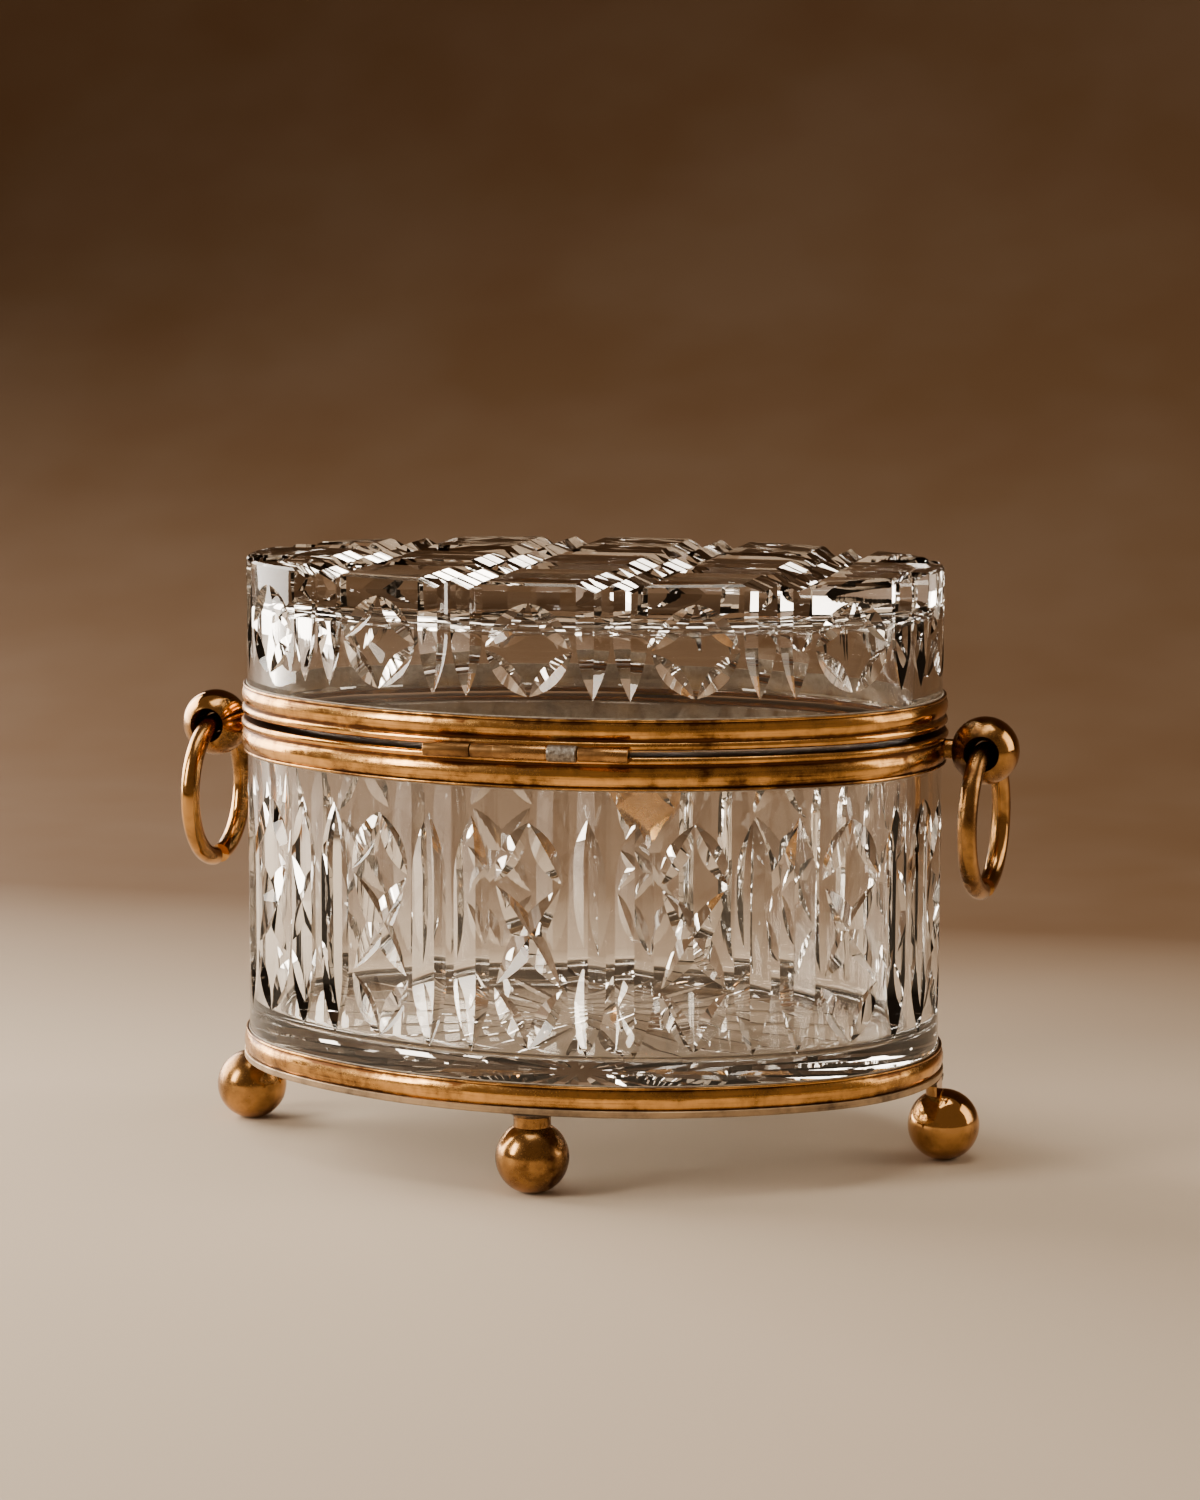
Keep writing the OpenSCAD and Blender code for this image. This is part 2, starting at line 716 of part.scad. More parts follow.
module shield_plate() {
    color(brass) difference() {
        lock_slab(case_front, shield_front) translate([0, shoulder_z]) shield_outline();
        lock_slab(case_front - past, shield_front + past) translate([0, key_z]) {
            circle(keyhole_r);
            translate([-keyhole_slot_w / 2, -keyhole_slot])
                square([keyhole_slot_w, keyhole_slot]);
        }
        screw_shanks(case_front - past, shield_front + past, fit);
    }
}

// Three small flat-headed screws that hold the shield to the case
module shield_screws() {
    color(brass) {
        screw_shanks(case_front - screw_len, shield_front + screw_head_h / 2);
        screw_shanks(shield_front, shield_front + screw_head_h, screw_head_r - screw_r);
    }
}

// Plate on the lid's rim, with the tongue that the bolt holds
module lid_catch() {
    notch_w = bolt_throw + bolt_play;
    notch_h = bolt_nose_h + 2 * bolt_play;
    color(brass) difference() {
        union() {
            translate([-catch_w / 2, lock_y, lid_rim_z])
                cube([catch_w, slot_y + tongue_t - lock_y, lid_rim_h]);
            translate([-tongue_w / 2, slot_y, lid_rim_z - tongue_len])
                cube([tongue_w, tongue_t, tongue_len + past]);
        }
        translate([tongue_w / 2 - notch_w, slot_y - past, bolt_z - notch_h / 2])
            cube([notch_w + past, tongue_t + 2 * past, notch_h]);
    }
}

// Bolt, drawn back: a nose for the tongue's notch, a riser, and a bar with the key's notch
module lock_bolt() {
    nose_x = tongue_w / 2 + 2 * bolt_play;
    riser_x = nose_x + bolt_throw + bolt_play;
    tail_x = shield_w / 2 - case_wall - 2 * bolt_play;
    color(steel) difference() {
        translate([0, bolt_back, 0]) {
            translate([nose_x, 0, bolt_z - bolt_nose_h / 2])
                cube([tail_x - nose_x, bolt_t, bolt_nose_h]);
            translate([riser_x, 0, bolt_bar_z])
                cube([tail_x - riser_x, bolt_t, bolt_z - bolt_bar_z]);
            translate([-2 * talon_w, 0, bolt_bar_z])
                cube([tail_x + 2 * talon_w, bolt_t, bolt_bar_h]);
        }
        translate([-talon_w / 2, bolt_back - past, bolt_bar_z - past])
            cube([talon_w, bolt_t + 2 * past, talon_h + past]);
    }
}

// Flat spring fixed to the case's left wall, resting on the bolt's bar
module bolt_spring() {
    from_x = case_wall - shield_w / 2;
    color(steel) translate([from_x, lock_y + case_wall, bolt_bar_z + bolt_bar_h + fit])
        cube([-from_x - spring_end, spring_w, spring_t]);
}

// Pin in the keyhole for a hollow key
module key_pin() {
    color(steel) lock_slab(lock_y + case_wall, shield_front - key_pin_in)
        translate([0, key_z]) circle(key_pin_r);
}

glass_bowl();
glass_lid();
base_plate();
base_rim();
base_bedding();
foot(0, -(glass_half_width - foot_side_in));  // foot_rear
foot(0, glass_half_width - foot_side_in);  // foot_front
foot(-(glass_half_length + foot_end_out), 0);  // foot_left
foot(glass_half_length + foot_end_out, 0);  // foot_right
bowl_rim();
bowl_bedding();
lid_rim();
lid_bedding();
knuckle(left_x, knuckle_left, pin_r, bowl_rim_top - leaf_t);  // hinge_knuckle_left
knuckle(right_x, knuckle_right, pin_r, bowl_rim_top - leaf_t);  // hinge_knuckle_right
knuckle(lid_x, knuckle_lid, pin_r + pin_play, lid_rim_z);  // hinge_knuckle_lid
hinge_pin();
handle_ball(-1);  // handle_ball_left
handle_ball(1);  // handle_ball_right
handle_ring(-1);  // handle_ring_left
handle_ring(1);  // handle_ring_right
lock_case();
shield_plate();
shield_screws();
lock_bolt();
bolt_spring();
key_pin();
lid_catch();
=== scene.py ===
import math

import bpy
from mathutils import Matrix, Quaternion, Vector


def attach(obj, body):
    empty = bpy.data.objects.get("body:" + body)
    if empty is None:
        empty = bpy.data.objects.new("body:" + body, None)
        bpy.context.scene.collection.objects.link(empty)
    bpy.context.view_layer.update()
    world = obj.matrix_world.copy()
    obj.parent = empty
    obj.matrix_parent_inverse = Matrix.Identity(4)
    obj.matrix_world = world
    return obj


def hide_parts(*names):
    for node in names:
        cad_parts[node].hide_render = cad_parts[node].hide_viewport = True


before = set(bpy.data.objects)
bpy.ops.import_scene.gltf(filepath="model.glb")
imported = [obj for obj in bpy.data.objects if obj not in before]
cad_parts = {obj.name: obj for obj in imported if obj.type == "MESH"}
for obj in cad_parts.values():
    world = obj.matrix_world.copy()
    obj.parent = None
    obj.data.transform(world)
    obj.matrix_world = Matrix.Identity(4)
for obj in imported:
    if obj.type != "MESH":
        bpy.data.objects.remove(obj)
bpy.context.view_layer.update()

# ---- Camera, light and floor ----
# The casket stands on a plain pale floor that rises behind it into a soft warm backdrop.
# A large window-like light is at the left, and the camera looks at the hinge side from a
# little to the right and above.

mm = 0.001


def clean_slate():
    if bpy.context.object and bpy.context.object.mode != "OBJECT":
        bpy.ops.object.mode_set(mode="OBJECT")
    bpy.ops.object.select_all(action="DESELECT")


def only(obj):
    clean_slate()
    obj.select_set(True)
    bpy.context.view_layer.objects.active = obj


def settle(obj):
    """Puts the object's place into its mesh."""
    only(obj)
    bpy.ops.object.transform_apply(location=True, rotation=True, scale=True)


def picked(obj, kind, test):
    """Goes into edit mode with only the corners, edges or faces picked that pass a test."""
    only(obj)
    bpy.ops.object.mode_set(mode="EDIT")
    bpy.ops.mesh.select_mode(type=kind)
    bpy.ops.mesh.select_all(action="DESELECT")
    bpy.ops.object.mode_set(mode="OBJECT")
    mesh = obj.data
    for part in {"VERT": mesh.vertices, "EDGE": mesh.edges, "FACE": mesh.polygons}[kind]:
        part.select = test(part)
    bpy.ops.object.mode_set(mode="EDIT")


camera_data = bpy.data.cameras.new("camera")
camera = bpy.data.objects.new("camera", camera_data)
bpy.context.scene.collection.objects.link(camera)
camera.location = (0.20386, -0.82255, 0.20443)
down, aside, roll = 0.1420, 0.2409, 0.0033
ahead = Vector((-math.sin(aside) * math.cos(down), math.cos(aside) * math.cos(down),
                -math.sin(down)))
looking = ahead.to_track_quat("-Z", "Y") @ Quaternion((0, 0, 1), roll)
camera.rotation_euler = looking.to_euler()
camera_data.sensor_width = 36
camera_data.lens = 97.57
camera_data.clip_start = 0.05
bpy.context.scene.camera = camera


def soft_light(name, place, size, power, colour):
    """A large rectangular light that shines on the casket's middle."""
    data = bpy.data.lights.new(name, "AREA")
    data.shape = "RECTANGLE"
    data.size, data.size_y = size
    data.energy = power
    data.color = colour
    data.spread = math.radians(110)
    light = bpy.data.objects.new(name, data)
    bpy.context.scene.collection.objects.link(light)
    light.location = place
    aim = Vector(casket_middle) - Vector(place)
    light.rotation_euler = aim.to_track_quat("-Z", "Y").to_euler()


casket_middle = (0, 0, 0.07)
soft_light("window", (-0.95, 0.28, 0.36), (0.75, 0.9), 12, (1.0, 0.91, 0.80))
soft_light("far_window", (-0.76, 0.70, 0.28), (0.42, 0.6), 2.4, (1.0, 0.90, 0.78))
soft_light("side", (-0.95, -0.75, 0.60), (0.35, 0.7), 5, (1.0, 0.90, 0.78))
soft_light("fill", (1.10, 0.30, 0.50), (0.6, 0.9), 2.5, (1.0, 0.84, 0.66))
soft_light("top", (0.10, -0.10, 1.30), (0.9, 0.5), 2.5, (1.0, 0.90, 0.78))

world = bpy.data.worlds.new("room")
bpy.context.scene.world = world
world.use_nodes = True
room = world.node_tree.nodes["Background"]
room.inputs["Color"].default_value = (0.24, 0.16, 0.10, 1)
room.inputs["Strength"].default_value = 0.85


def node(tree, kind, place=(0, 0), **settings):
    """A node at a place in its tree, with its settings made."""
    new = tree.nodes.new(kind)
    new.location = place
    for key, value in settings.items():
        setattr(new, key, value)
    return new


def feed(tree, output, target):
    tree.links.new(output, target)


def plain_shader(name):
    """A new material with its Principled shader and its object coordinates."""
    material = bpy.data.materials.new(name)
    material.use_nodes = True
    tree = material.node_tree
    shader = tree.nodes["Principled BSDF"]
    coordinates = node(tree, "ShaderNodeTexCoord", (-1200, 0))
    return material, tree, shader, coordinates.outputs["Object"]


def noise(tree, vector, scale, detail=3.0, roughness=0.55, place=(-900, 0)):
    new = node(tree, "ShaderNodeTexNoise", place)
    feed(tree, vector, new.inputs["Vector"])
    new.inputs["Scale"].default_value = scale
    new.inputs["Detail"].default_value = detail
    new.inputs["Roughness"].default_value = roughness
    return new.outputs["Fac"]


def spread(tree, value, low, high, to_low=0.0, to_high=1.0):
    """Stretches the part of a value between low and high over a new range."""
    new = node(tree, "ShaderNodeMapRange", (-600, 0))
    feed(tree, value, new.inputs["Value"])
    for socket, number in zip(("From Min", "From Max", "To Min", "To Max"),
                              (low, high, to_low, to_high)):
        new.inputs[socket].default_value = number
    return new.outputs["Result"]


def mixed(tree, factor, first, second):
    """Mixes two colours, each a colour or an output."""
    new = node(tree, "ShaderNodeMix", (-300, 0), data_type="RGBA")
    feed(tree, factor, new.inputs["Factor"])
    for socket, value in ((new.inputs[6], first), (new.inputs[7], second)):
        if isinstance(value, bpy.types.NodeSocket):
            feed(tree, value, socket)
        else:
            socket.default_value = (*value, 1)
    return new.outputs[2]


def sums(tree, how, first, second):
    """Adds, multiplies and so on; each of the two is a number or an output."""
    new = node(tree, "ShaderNodeMath", (-450, 0), operation=how)
    for socket, value in zip(new.inputs, (first, second)):
        if isinstance(value, bpy.types.NodeSocket):
            feed(tree, value, socket)
        else:
            socket.default_value = value
    return new.outputs["Value"]


def bumped(tree, shader, height, distance):
    """Gives a shader bumps of a height, in metres."""
    new = node(tree, "ShaderNodeBump", (-200, -300))
    new.inputs["Strength"].default_value = 1
    new.inputs["Distance"].default_value = distance
    feed(tree, height, new.inputs["Height"])
    feed(tree, new.outputs["Normal"], shader.inputs["Normal"])


floor_width, floor_near, floor_far = 6, -2.5, 1.2
wall_height, bend_r = 3, 0.8
clean_slate()
bpy.ops.mesh.primitive_plane_add(size=1, location=(0, (floor_near + floor_far) / 2, 0))
floor = bpy.context.object
floor.name = "floor"
floor.scale = (floor_width, floor_far - floor_near, 1)
settle(floor)
corners = floor.data.vertices
picked(floor, "EDGE", lambda edge: all(corners[i].co.y > 1 for i in edge.vertices))
bpy.ops.mesh.extrude_region_move(TRANSFORM_OT_translate={"value": (0, 0, wall_height)})
bpy.ops.object.mode_set(mode="OBJECT")
corners = floor.data.vertices
picked(floor, "EDGE", lambda edge: all(
    corners[i].co.y > 1 and corners[i].co.z < 0.1 for i in edge.vertices))
bpy.ops.mesh.bevel(offset=bend_r, segments=32, affect="EDGES")
bpy.ops.object.mode_set(mode="OBJECT")
bpy.ops.object.shade_smooth()

pale_colour, backdrop_colour, mottled_colour = (
    (0.58, 0.48, 0.37), (0.118, 0.064, 0.029), (0.5, 0.45, 0.38))
pale, tree, shader, place = plain_shader("pale_floor")
apart = node(tree, "ShaderNodeSeparateXYZ", (-1000, 0))
feed(tree, place, apart.inputs["Vector"])
rise = spread(tree, apart.outputs["Y"], 0.02, 0.26)
grain = noise(tree, place, 9)
floor_colour = mixed(tree, rise, pale_colour, backdrop_colour)
shade = mixed(tree, spread(tree, grain, 0.35, 0.65, 0.0, 0.05), floor_colour, mottled_colour)
feed(tree, shade, shader.inputs["Base Color"])
shader.inputs["Roughness"].default_value = 0.7
shader.inputs["Specular IOR Level"].default_value = 0.25
floor.data.materials.append(pale)

# ---- Glass bowl ----
# One thick piece of clear crystal, blown in an oval mould, then cut with vee-edged wheels:
# twelve columns of crossed leaves, twelve pairs of flutes between them, and a star in the
# underside. Lengths are in millimetres.

half_length, half_width = 73.9, 52.5
half_difference = half_length - half_width
side_centre = 2 * half_difference
end_centre = 1.5 * half_difference
side_r = half_width + side_centre
end_r = half_length - end_centre
meeting_angle = math.atan2(4, 3)
side_turn = math.pi / 2 - meeting_angle
end_turn = meeting_angle
side_run = side_r * side_turn
end_run = end_r * end_turn
perimeter = 4 * (side_run + end_run)
repeats = 12
pitch = perimeter / repeats


def on_wall(distance):
    """Where a distance along the outline from the middle of the rear lies, with -Y outwards."""
    distance %= perimeter
    arcs = ((0, side_centre, side_r, 0, side_run),
            (end_centre, 0, end_r, side_turn, 2 * end_run),
            (0, -side_centre, side_r, math.pi - side_turn, 2 * side_run),
            (-end_centre, 0, end_r, math.pi + side_turn, 2 * end_run),
            (0, side_centre, side_r, 2 * math.pi - side_turn, side_run))
    for x, y, r, turn, run in arcs:
        if distance <= run:
            break
        distance -= run
    turn += distance / r
    place = ((x + r * math.sin(turn)) * mm, (y - r * math.cos(turn)) * mm, 0)
    return Matrix.Translation(place) @ Matrix.Rotation(turn, 4, "Z")


def drawn_section(name, points):
    """Draws a section at the middle of the rear, vertex by vertex. Each point is how far it
    stands outside the glass's outline, and its height, in millimetres."""
    clean_slate()
    first = (0, -(half_width + points[0][0]) * mm, points[0][1] * mm)
    bpy.ops.mesh.primitive_plane_add(size=0.001, location=first)
    obj = bpy.context.object
    obj.name = obj.data.name = name
    settle(obj)
    bpy.ops.object.mode_set(mode="EDIT")
    bpy.ops.mesh.select_mode(type="VERT")
    bpy.ops.mesh.select_all(action="SELECT")
    bpy.ops.mesh.merge(type="CENTER")
    for (out, up), (next_out, next_up) in zip(points, points[1:]):
        step = (0, (out - next_out) * mm, (next_up - up) * mm)
        bpy.ops.mesh.extrude_region_move(TRANSFORM_OT_translate={"value": step})
    return obj


def spun_round_oval(name, points, step=1.1):
    """Spins a section right round the oval, arc by arc, and closes it."""
    obj = drawn_section(name, points)
    bpy.ops.mesh.select_all(action="SELECT")
    for x, y, run, turn in ((0, side_centre, side_run, side_turn),
                            (end_centre, 0, 2 * end_run, 2 * end_turn),
                            (0, -side_centre, 2 * side_run, 2 * side_turn),
                            (-end_centre, 0, 2 * end_run, 2 * end_turn),
                            (0, side_centre, side_run, side_turn)):
        bpy.ops.mesh.spin(steps=round(run / step), angle=-turn, center=(x * mm, y * mm, 0),
                          axis=(0, 0, 1))
    bpy.ops.mesh.select_all(action="SELECT")
    bpy.ops.mesh.remove_doubles(threshold=0.002 * mm)
    bpy.ops.mesh.normals_make_consistent(inside=False)
    bpy.ops.object.mode_set(mode="OBJECT")
    return obj


def capped(obj, height):
    """Fills the open loop of edges at a height with one face."""
    only(obj)
    bpy.ops.object.mode_set(mode="EDIT")
    bpy.ops.mesh.select_mode(type="EDGE")
    bpy.ops.mesh.select_all(action="DESELECT")
    bpy.ops.mesh.select_non_manifold()
    bpy.ops.object.mode_set(mode="OBJECT")
    for edge in obj.data.edges:
        ends = [obj.data.vertices[i].co.z for i in edge.vertices]
        edge.select = edge.select and all(abs(z - height * mm) < 0.01 * mm for z in ends)
    bpy.ops.object.mode_set(mode="EDIT")
    bpy.ops.mesh.edge_face_add()
    bpy.ops.mesh.select_all(action="SELECT")
    bpy.ops.mesh.normals_make_consistent(inside=False)
    bpy.ops.object.mode_set(mode="OBJECT")


def arc(out, up, r, start, end, count=10):
    """Points of an arc in a section, from one angle to another in degrees."""
    angles = [math.radians(start + (end - start) * i / count) for i in range(count + 1)]
    return [(out + r * math.cos(a), up + r * math.sin(a)) for a in angles]


vee = math.tan(math.radians(62))
over_surface = 0.3


def wheel_cut(width, length=None, wheel_r=None, stretch=0.0, step=0.7):
    """What a vee-edged wheel takes out of the glass: a pointed canoe, upright at the origin,
    with -Y outwards. It is as wide as given, and as long, or from a wheel as large, as given.
    Stretch lengthens it at its middle."""
    depth = width / 2 / vee
    if wheel_r is None:
        wheel_r = length * length / 8 / depth + depth / 2
    rim = depth + 2
    count = 2 * round(math.pi * wheel_r / step)
    axis = (0, (depth - wheel_r) * mm, 0)
    clean_slate()
    bpy.ops.mesh.primitive_cylinder_add(
        vertices=count, radius=(wheel_r - rim) * mm, depth=2 * rim * vee * mm,
        location=axis, rotation=(0, math.pi / 2, 0))
    cut = bpy.context.object
    settle(cut)
    corners = cut.data.vertices
    picked(cut, "EDGE", lambda edge: abs(
        corners[edge.vertices[0]].co.x - corners[edge.vertices[1]].co.x) > rim * mm)
    bpy.ops.mesh.subdivide(number_cuts=1)
    picked(cut, "VERT", lambda corner: abs(corner.co.x) < 1e-6)
    grow = wheel_r / (wheel_r - rim)
    bpy.ops.transform.resize(value=(1, grow, grow), center_override=axis)
    bpy.ops.mesh.select_all(action="SELECT")
    bpy.ops.transform.rotate(value=math.pi / count, orient_axis="X", center_override=axis)
    bpy.ops.mesh.bisect(plane_co=(0, -over_surface * mm, 0), plane_no=(0, -1, 0), clear_outer=True,
                        use_fill=True)
    if stretch:
        picked(cut, "VERT", lambda corner: corner.co.z > 0)
        bpy.ops.transform.translate(value=(0, 0, stretch * mm))
    bpy.ops.mesh.select_all(action="SELECT")
    bpy.ops.mesh.normals_make_consistent(inside=False)
    bpy.ops.object.mode_set(mode="OBJECT")
    return cut


def cut_away(obj, cutter, places=(Matrix.Identity(4),)):
    """Takes a copy of the cutter out of the object at each place, or where the cutter is."""
    copies = []
    for place in places:
        copy = cutter.copy()
        copy.data = cutter.data.copy()
        bpy.context.scene.collection.objects.link(copy)
        copy.data.transform(place)
        copies.append(copy)
    clean_slate()
    for copy in copies:
        copy.select_set(True)
    bpy.context.view_layer.objects.active = copies[0]
    if len(copies) > 1:
        bpy.ops.object.join()
    only(obj)
    cutting = obj.modifiers.new("cut", "BOOLEAN")
    cutting.operation = "DIFFERENCE"
    cutting.solver = "EXACT"
    cutting.object = copies[0]
    bpy.ops.object.modifier_apply(modifier=cutting.name)
    bpy.data.objects.remove(copies[0])


def thrown_away(*things):
    """Removes objects that were only tools."""
    for thing in things:
        bpy.data.objects.remove(thing)


def leaf_place(column, along, up, lean):
    """Place of a leaf on the wall: its middle's distance along from a column, its height, and
    how far it leans, in degrees."""
    return (on_wall(column * pitch + along) @ Matrix.Translation((0, 0, up * mm))
            @ Matrix.Rotation(math.radians(lean), 4, "Y"))


bowl_z, bowl_top = 18.2, 88.7
wall, floor_t, corner_r = 6.0, 8.5, 3.0
floor_z = bowl_z + floor_t
air = 0.03
glass_bowl = spun_round_oval("cut_glass_bowl", [
    (-wall - corner_r, floor_z),
    *arc(-wall - corner_r, floor_z + corner_r, corner_r, -90, 0)[1:],
    (-wall, bowl_top - 0.5), (-wall + 0.4, bowl_top - air),
    (-0.4, bowl_top - air), (0, bowl_top - 0.5),
    (0, bowl_z + 0.6), (-0.5, bowl_z + air)])
capped(glass_bowl, floor_z)
capped(glass_bowl, bowl_z + air)

cutting_wheel_r = 45
flute_w, flute_low, flute_stretch, flute_aside = 8.0, 28.8, 20.7, 4.75
leaf_out, leaf_end, crossing_rise = 7, 12.4, 21.3
leaf_high, leaf_low, crossing_middle = 69.8, 36.1, 52.95
kept_apart = 0.02


def run_out(width):
    """How far a flute of a width runs out at each end of its stretch."""
    return math.sqrt(cutting_wheel_r ** 2 - (cutting_wheel_r - width / 2 / vee) ** 2)


flute = wheel_cut(flute_w, wheel_r=cutting_wheel_r, stretch=flute_stretch)
flute_up = Matrix.Translation((0, 0, (flute_low + run_out(flute_w)) * mm))
cut_away(glass_bowl, flute, [on_wall((i + 0.5) * pitch + side * flute_aside) @ flute_up
                             for i in range(repeats) for side in (-1, 1)])
diamond_leaf = wheel_cut(4.6, length=14.5)
crossing_leaf = wheel_cut(5.9, length=26.1)
lean_end = math.degrees(math.atan2(leaf_out, leaf_end))
lean_cross = math.degrees(math.atan2(2 * leaf_out, crossing_rise))
for side, lift in ((-1, 0), (1, kept_apart)):
    half_out = side * leaf_out / 2
    cut_away(glass_bowl, diamond_leaf,
             [leaf_place(i, half_out, leaf_high, -side * lean_end) for i in range(repeats)]
             + [leaf_place(i, -half_out, leaf_low, -side * lean_end) for i in range(repeats)])
    cut_away(glass_bowl, crossing_leaf, [
        leaf_place(i, lift, crossing_middle, side * lean_cross)
        @ Matrix.Translation((0, -lift * mm, 0)) for i in range(repeats)])

star_count, star_hub, ray_length = 24, 5, 46
star_half_length, star_half_width = 64.9, 43.5
star_ray = wheel_cut(2.8, length=ray_length, step=1.6)
rays = []
for i in range(star_count):
    angle = (i + 0.5) * 2 * math.pi / star_count
    reach = math.hypot(star_half_length * math.cos(angle), star_half_width * math.sin(angle))
    rays.append(Matrix.Rotation(angle, 4, "Z")
                @ Matrix.Translation(((star_hub + reach) / 2 * mm, 0, (bowl_z + air) * mm))
                @ Matrix.Rotation(math.pi / 2, 4, "X") @ Matrix.Rotation(math.pi / 2, 4, "Y")
                @ Matrix.Diagonal((1, 1, (reach - star_hub) / ray_length, 1)))
cut_away(glass_bowl, star_ray, rays)
thrown_away(flute, diamond_leaf, crossing_leaf, star_ray)
glass_crease = math.radians(18)
only(glass_bowl)
bpy.ops.object.shade_smooth_by_angle(angle=glass_crease)

crystal, tree, shader, place = plain_shader("cut_crystal")
shader.inputs["Base Color"].default_value = (0.985, 0.968, 0.94, 1)
shader.inputs["Metallic"].default_value = 0
shader.inputs["Transmission Weight"].default_value = 1
shader.inputs["IOR"].default_value = 1.54
haze = noise(tree, place, 38, 4, 0.6)
feed(tree, spread(tree, haze, 0.5, 0.75, 0.0, 0.035), shader.inputs["Roughness"])
waves = noise(tree, place, 55, 1.5, 0.4, (-900, -300))
bumped(tree, shader, waves, 0.00006)
glass_bowl.data.materials.append(crystal)
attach(glass_bowl, "root")
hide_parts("glass_bowl")

# ---- Glass lid ----
# The lid is of the same crystal, hollow below and flat on top. A diamond of four leaves is
# cut over each column of the bowl, and the flutes run on over the top edge and across the
# top as long grooves.

lid_z, lid_top = 91.9, 123.6
lid_top_t = 8.0
glass_lid = spun_round_oval("cut_glass_lid", [
    (-wall - corner_r, lid_top - lid_top_t),
    *arc(-wall - corner_r, lid_top - lid_top_t - corner_r, corner_r, 90, 0)[1:],
    (-wall, lid_z + 0.5), (-wall + 0.4, lid_z + air),
    (-0.4, lid_z + air), (0, lid_z + 0.5),
    (0, lid_top - 0.5), (-0.5, lid_top)])
capped(glass_lid, lid_top - lid_top_t)
capped(glass_lid, lid_top)
lid_flute_w, lid_flute_low, lid_flute_aside = 7.0, 100.6, 3.7
lid_flute = wheel_cut(lid_flute_w, wheel_r=cutting_wheel_r, stretch=30.0)
flute_up = Matrix.Translation((0, 0, (lid_flute_low + run_out(lid_flute_w)) * mm))
for side in (-1, 1):
    cut_away(glass_lid, lid_flute, [
        on_wall((i + 0.5) * pitch + side * lid_flute_aside) @ flute_up for i in range(repeats)])
lid_leaf = wheel_cut(4.1, length=13.2)
lid_leaf_out, lid_leaf_rise, lid_leaf_middle = 9.1, 9.55, 110.4
lid_lean = math.degrees(math.atan2(lid_leaf_out, lid_leaf_rise))
for side in (-1, 1):
    cut_away(glass_lid, lid_leaf, [
        leaf_place(i, end * lid_leaf_out / 2, lid_leaf_middle + end * side * 4.78,
                   -side * lid_lean)
        for i in range(repeats) for end in (-1, 1)])
clean_slate()
groove_depth, over_top, groove_length = lid_flute_w / 2 / vee, 1, 180
bpy.ops.mesh.primitive_cylinder_add(vertices=4, radius=(groove_depth + over_top) * mm,
                                    depth=groove_length * mm, rotation=(math.pi / 2, 0, 0))
groove = bpy.context.object
settle(groove)
bpy.ops.object.mode_set(mode="EDIT")
bpy.ops.mesh.select_all(action="SELECT")
bpy.ops.transform.resize(value=(vee, 1, 1), center_override=(0, 0, 0))
bpy.ops.object.mode_set(mode="OBJECT")
groove_z = Matrix.Translation((0, 0, (lid_top + over_top) * mm))
for side in (-1, 1):
    spots = [on_wall(units * pitch + side * lid_flute_aside).translation
             for units in (0.5, 1.5, 2.5)]
    cut_away(glass_lid, groove, [groove_z @ Matrix.Translation((end * spot.x, 0, 0))
                                 for spot in spots[:2] for end in (-1, 1)])
    cut_away(glass_lid, groove, [
        groove_z @ Matrix.Translation((0, end * spots[2].y, kept_apart * mm))
        @ Matrix.Rotation(math.pi / 2, 4, "Z") for end in (-1, 1)])
thrown_away(lid_flute, lid_leaf, groove)
only(glass_lid)
bpy.ops.object.shade_smooth_by_angle(angle=glass_crease)
glass_lid.data.materials.append(crystal)
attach(glass_lid, "lid")
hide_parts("glass_lid")

# ---- Base plate, band and bedding ----
# A flat brass ring carries the glass. A moulded band is soldered round it, and the narrow
# gap between the band and the glass is filled with plaster. The plate is the dullest metal.

plate_z = 16.8
bedding_t, sleeve_out = 0.2, 0.55
hair = 0.02


def gilding(name, gold, tarnish_and_shade, amount, streak=1.0, rough=0.2, dents=0.00004):
    """Worn gilt brass: bright where it is handled, tarnished in patches, and darker in the hollows,
    partly patina and partly painted shade.
    """
    material, tree, shader, place = plain_shader(name)
    wear = node(tree, "ShaderNodeGroup", (-700, 0), node_tree=worn_and_shaded_gilding)
    feed(tree, place, wear.inputs["Place"])
    wear.inputs["Gold"].default_value = (*gold, 1)
    wear.inputs["Tarnish_and_shade"].default_value = (*tarnish_and_shade, 1)
    wear.inputs["Amount"].default_value = amount
    wear.inputs["Streak"].default_value = streak
    wear.inputs["Smoothest"].default_value = rough
    shader.inputs["Metallic"].default_value = 1
    feed(tree, wear.outputs["Colour"], shader.inputs["Base Color"])
    feed(tree, wear.outputs["Roughness"], shader.inputs["Roughness"])
    bumped(tree, shader, wear.outputs["Height"], dents)
    return material


worn_and_shaded_gilding = bpy.data.node_groups.new("worn_and_shaded_gilding", "ShaderNodeTree")
for label, kind in (("Place", "NodeSocketVector"), ("Gold", "NodeSocketColor"),
                    ("Tarnish_and_shade", "NodeSocketColor"), ("Amount", "NodeSocketFloat"),
                    ("Streak", "NodeSocketFloat"), ("Smoothest", "NodeSocketFloat")):
    worn_and_shaded_gilding.interface.new_socket(name=label, in_out="INPUT", socket_type=kind)
for label, kind in (("Colour", "NodeSocketColor"), ("Roughness", "NodeSocketFloat"),
                    ("Height", "NodeSocketFloat")):
    worn_and_shaded_gilding.interface.new_socket(name=label, in_out="OUTPUT", socket_type=kind)
tree = worn_and_shaded_gilding
given = node(tree, "NodeGroupInput", (-1800, 0)).outputs
blotches = noise(tree, given["Place"], 70, 5, 0.62)
patches = noise(tree, given["Place"], 260, 4, 0.6, (-900, -200))
pits = noise(tree, given["Place"], 2600, 2, 0.5, (-900, -400))
stretched = node(tree, "ShaderNodeMapping", (-1200, -500), vector_type="POINT")
stretched.inputs["Scale"].default_value = (60, 60, 2600)
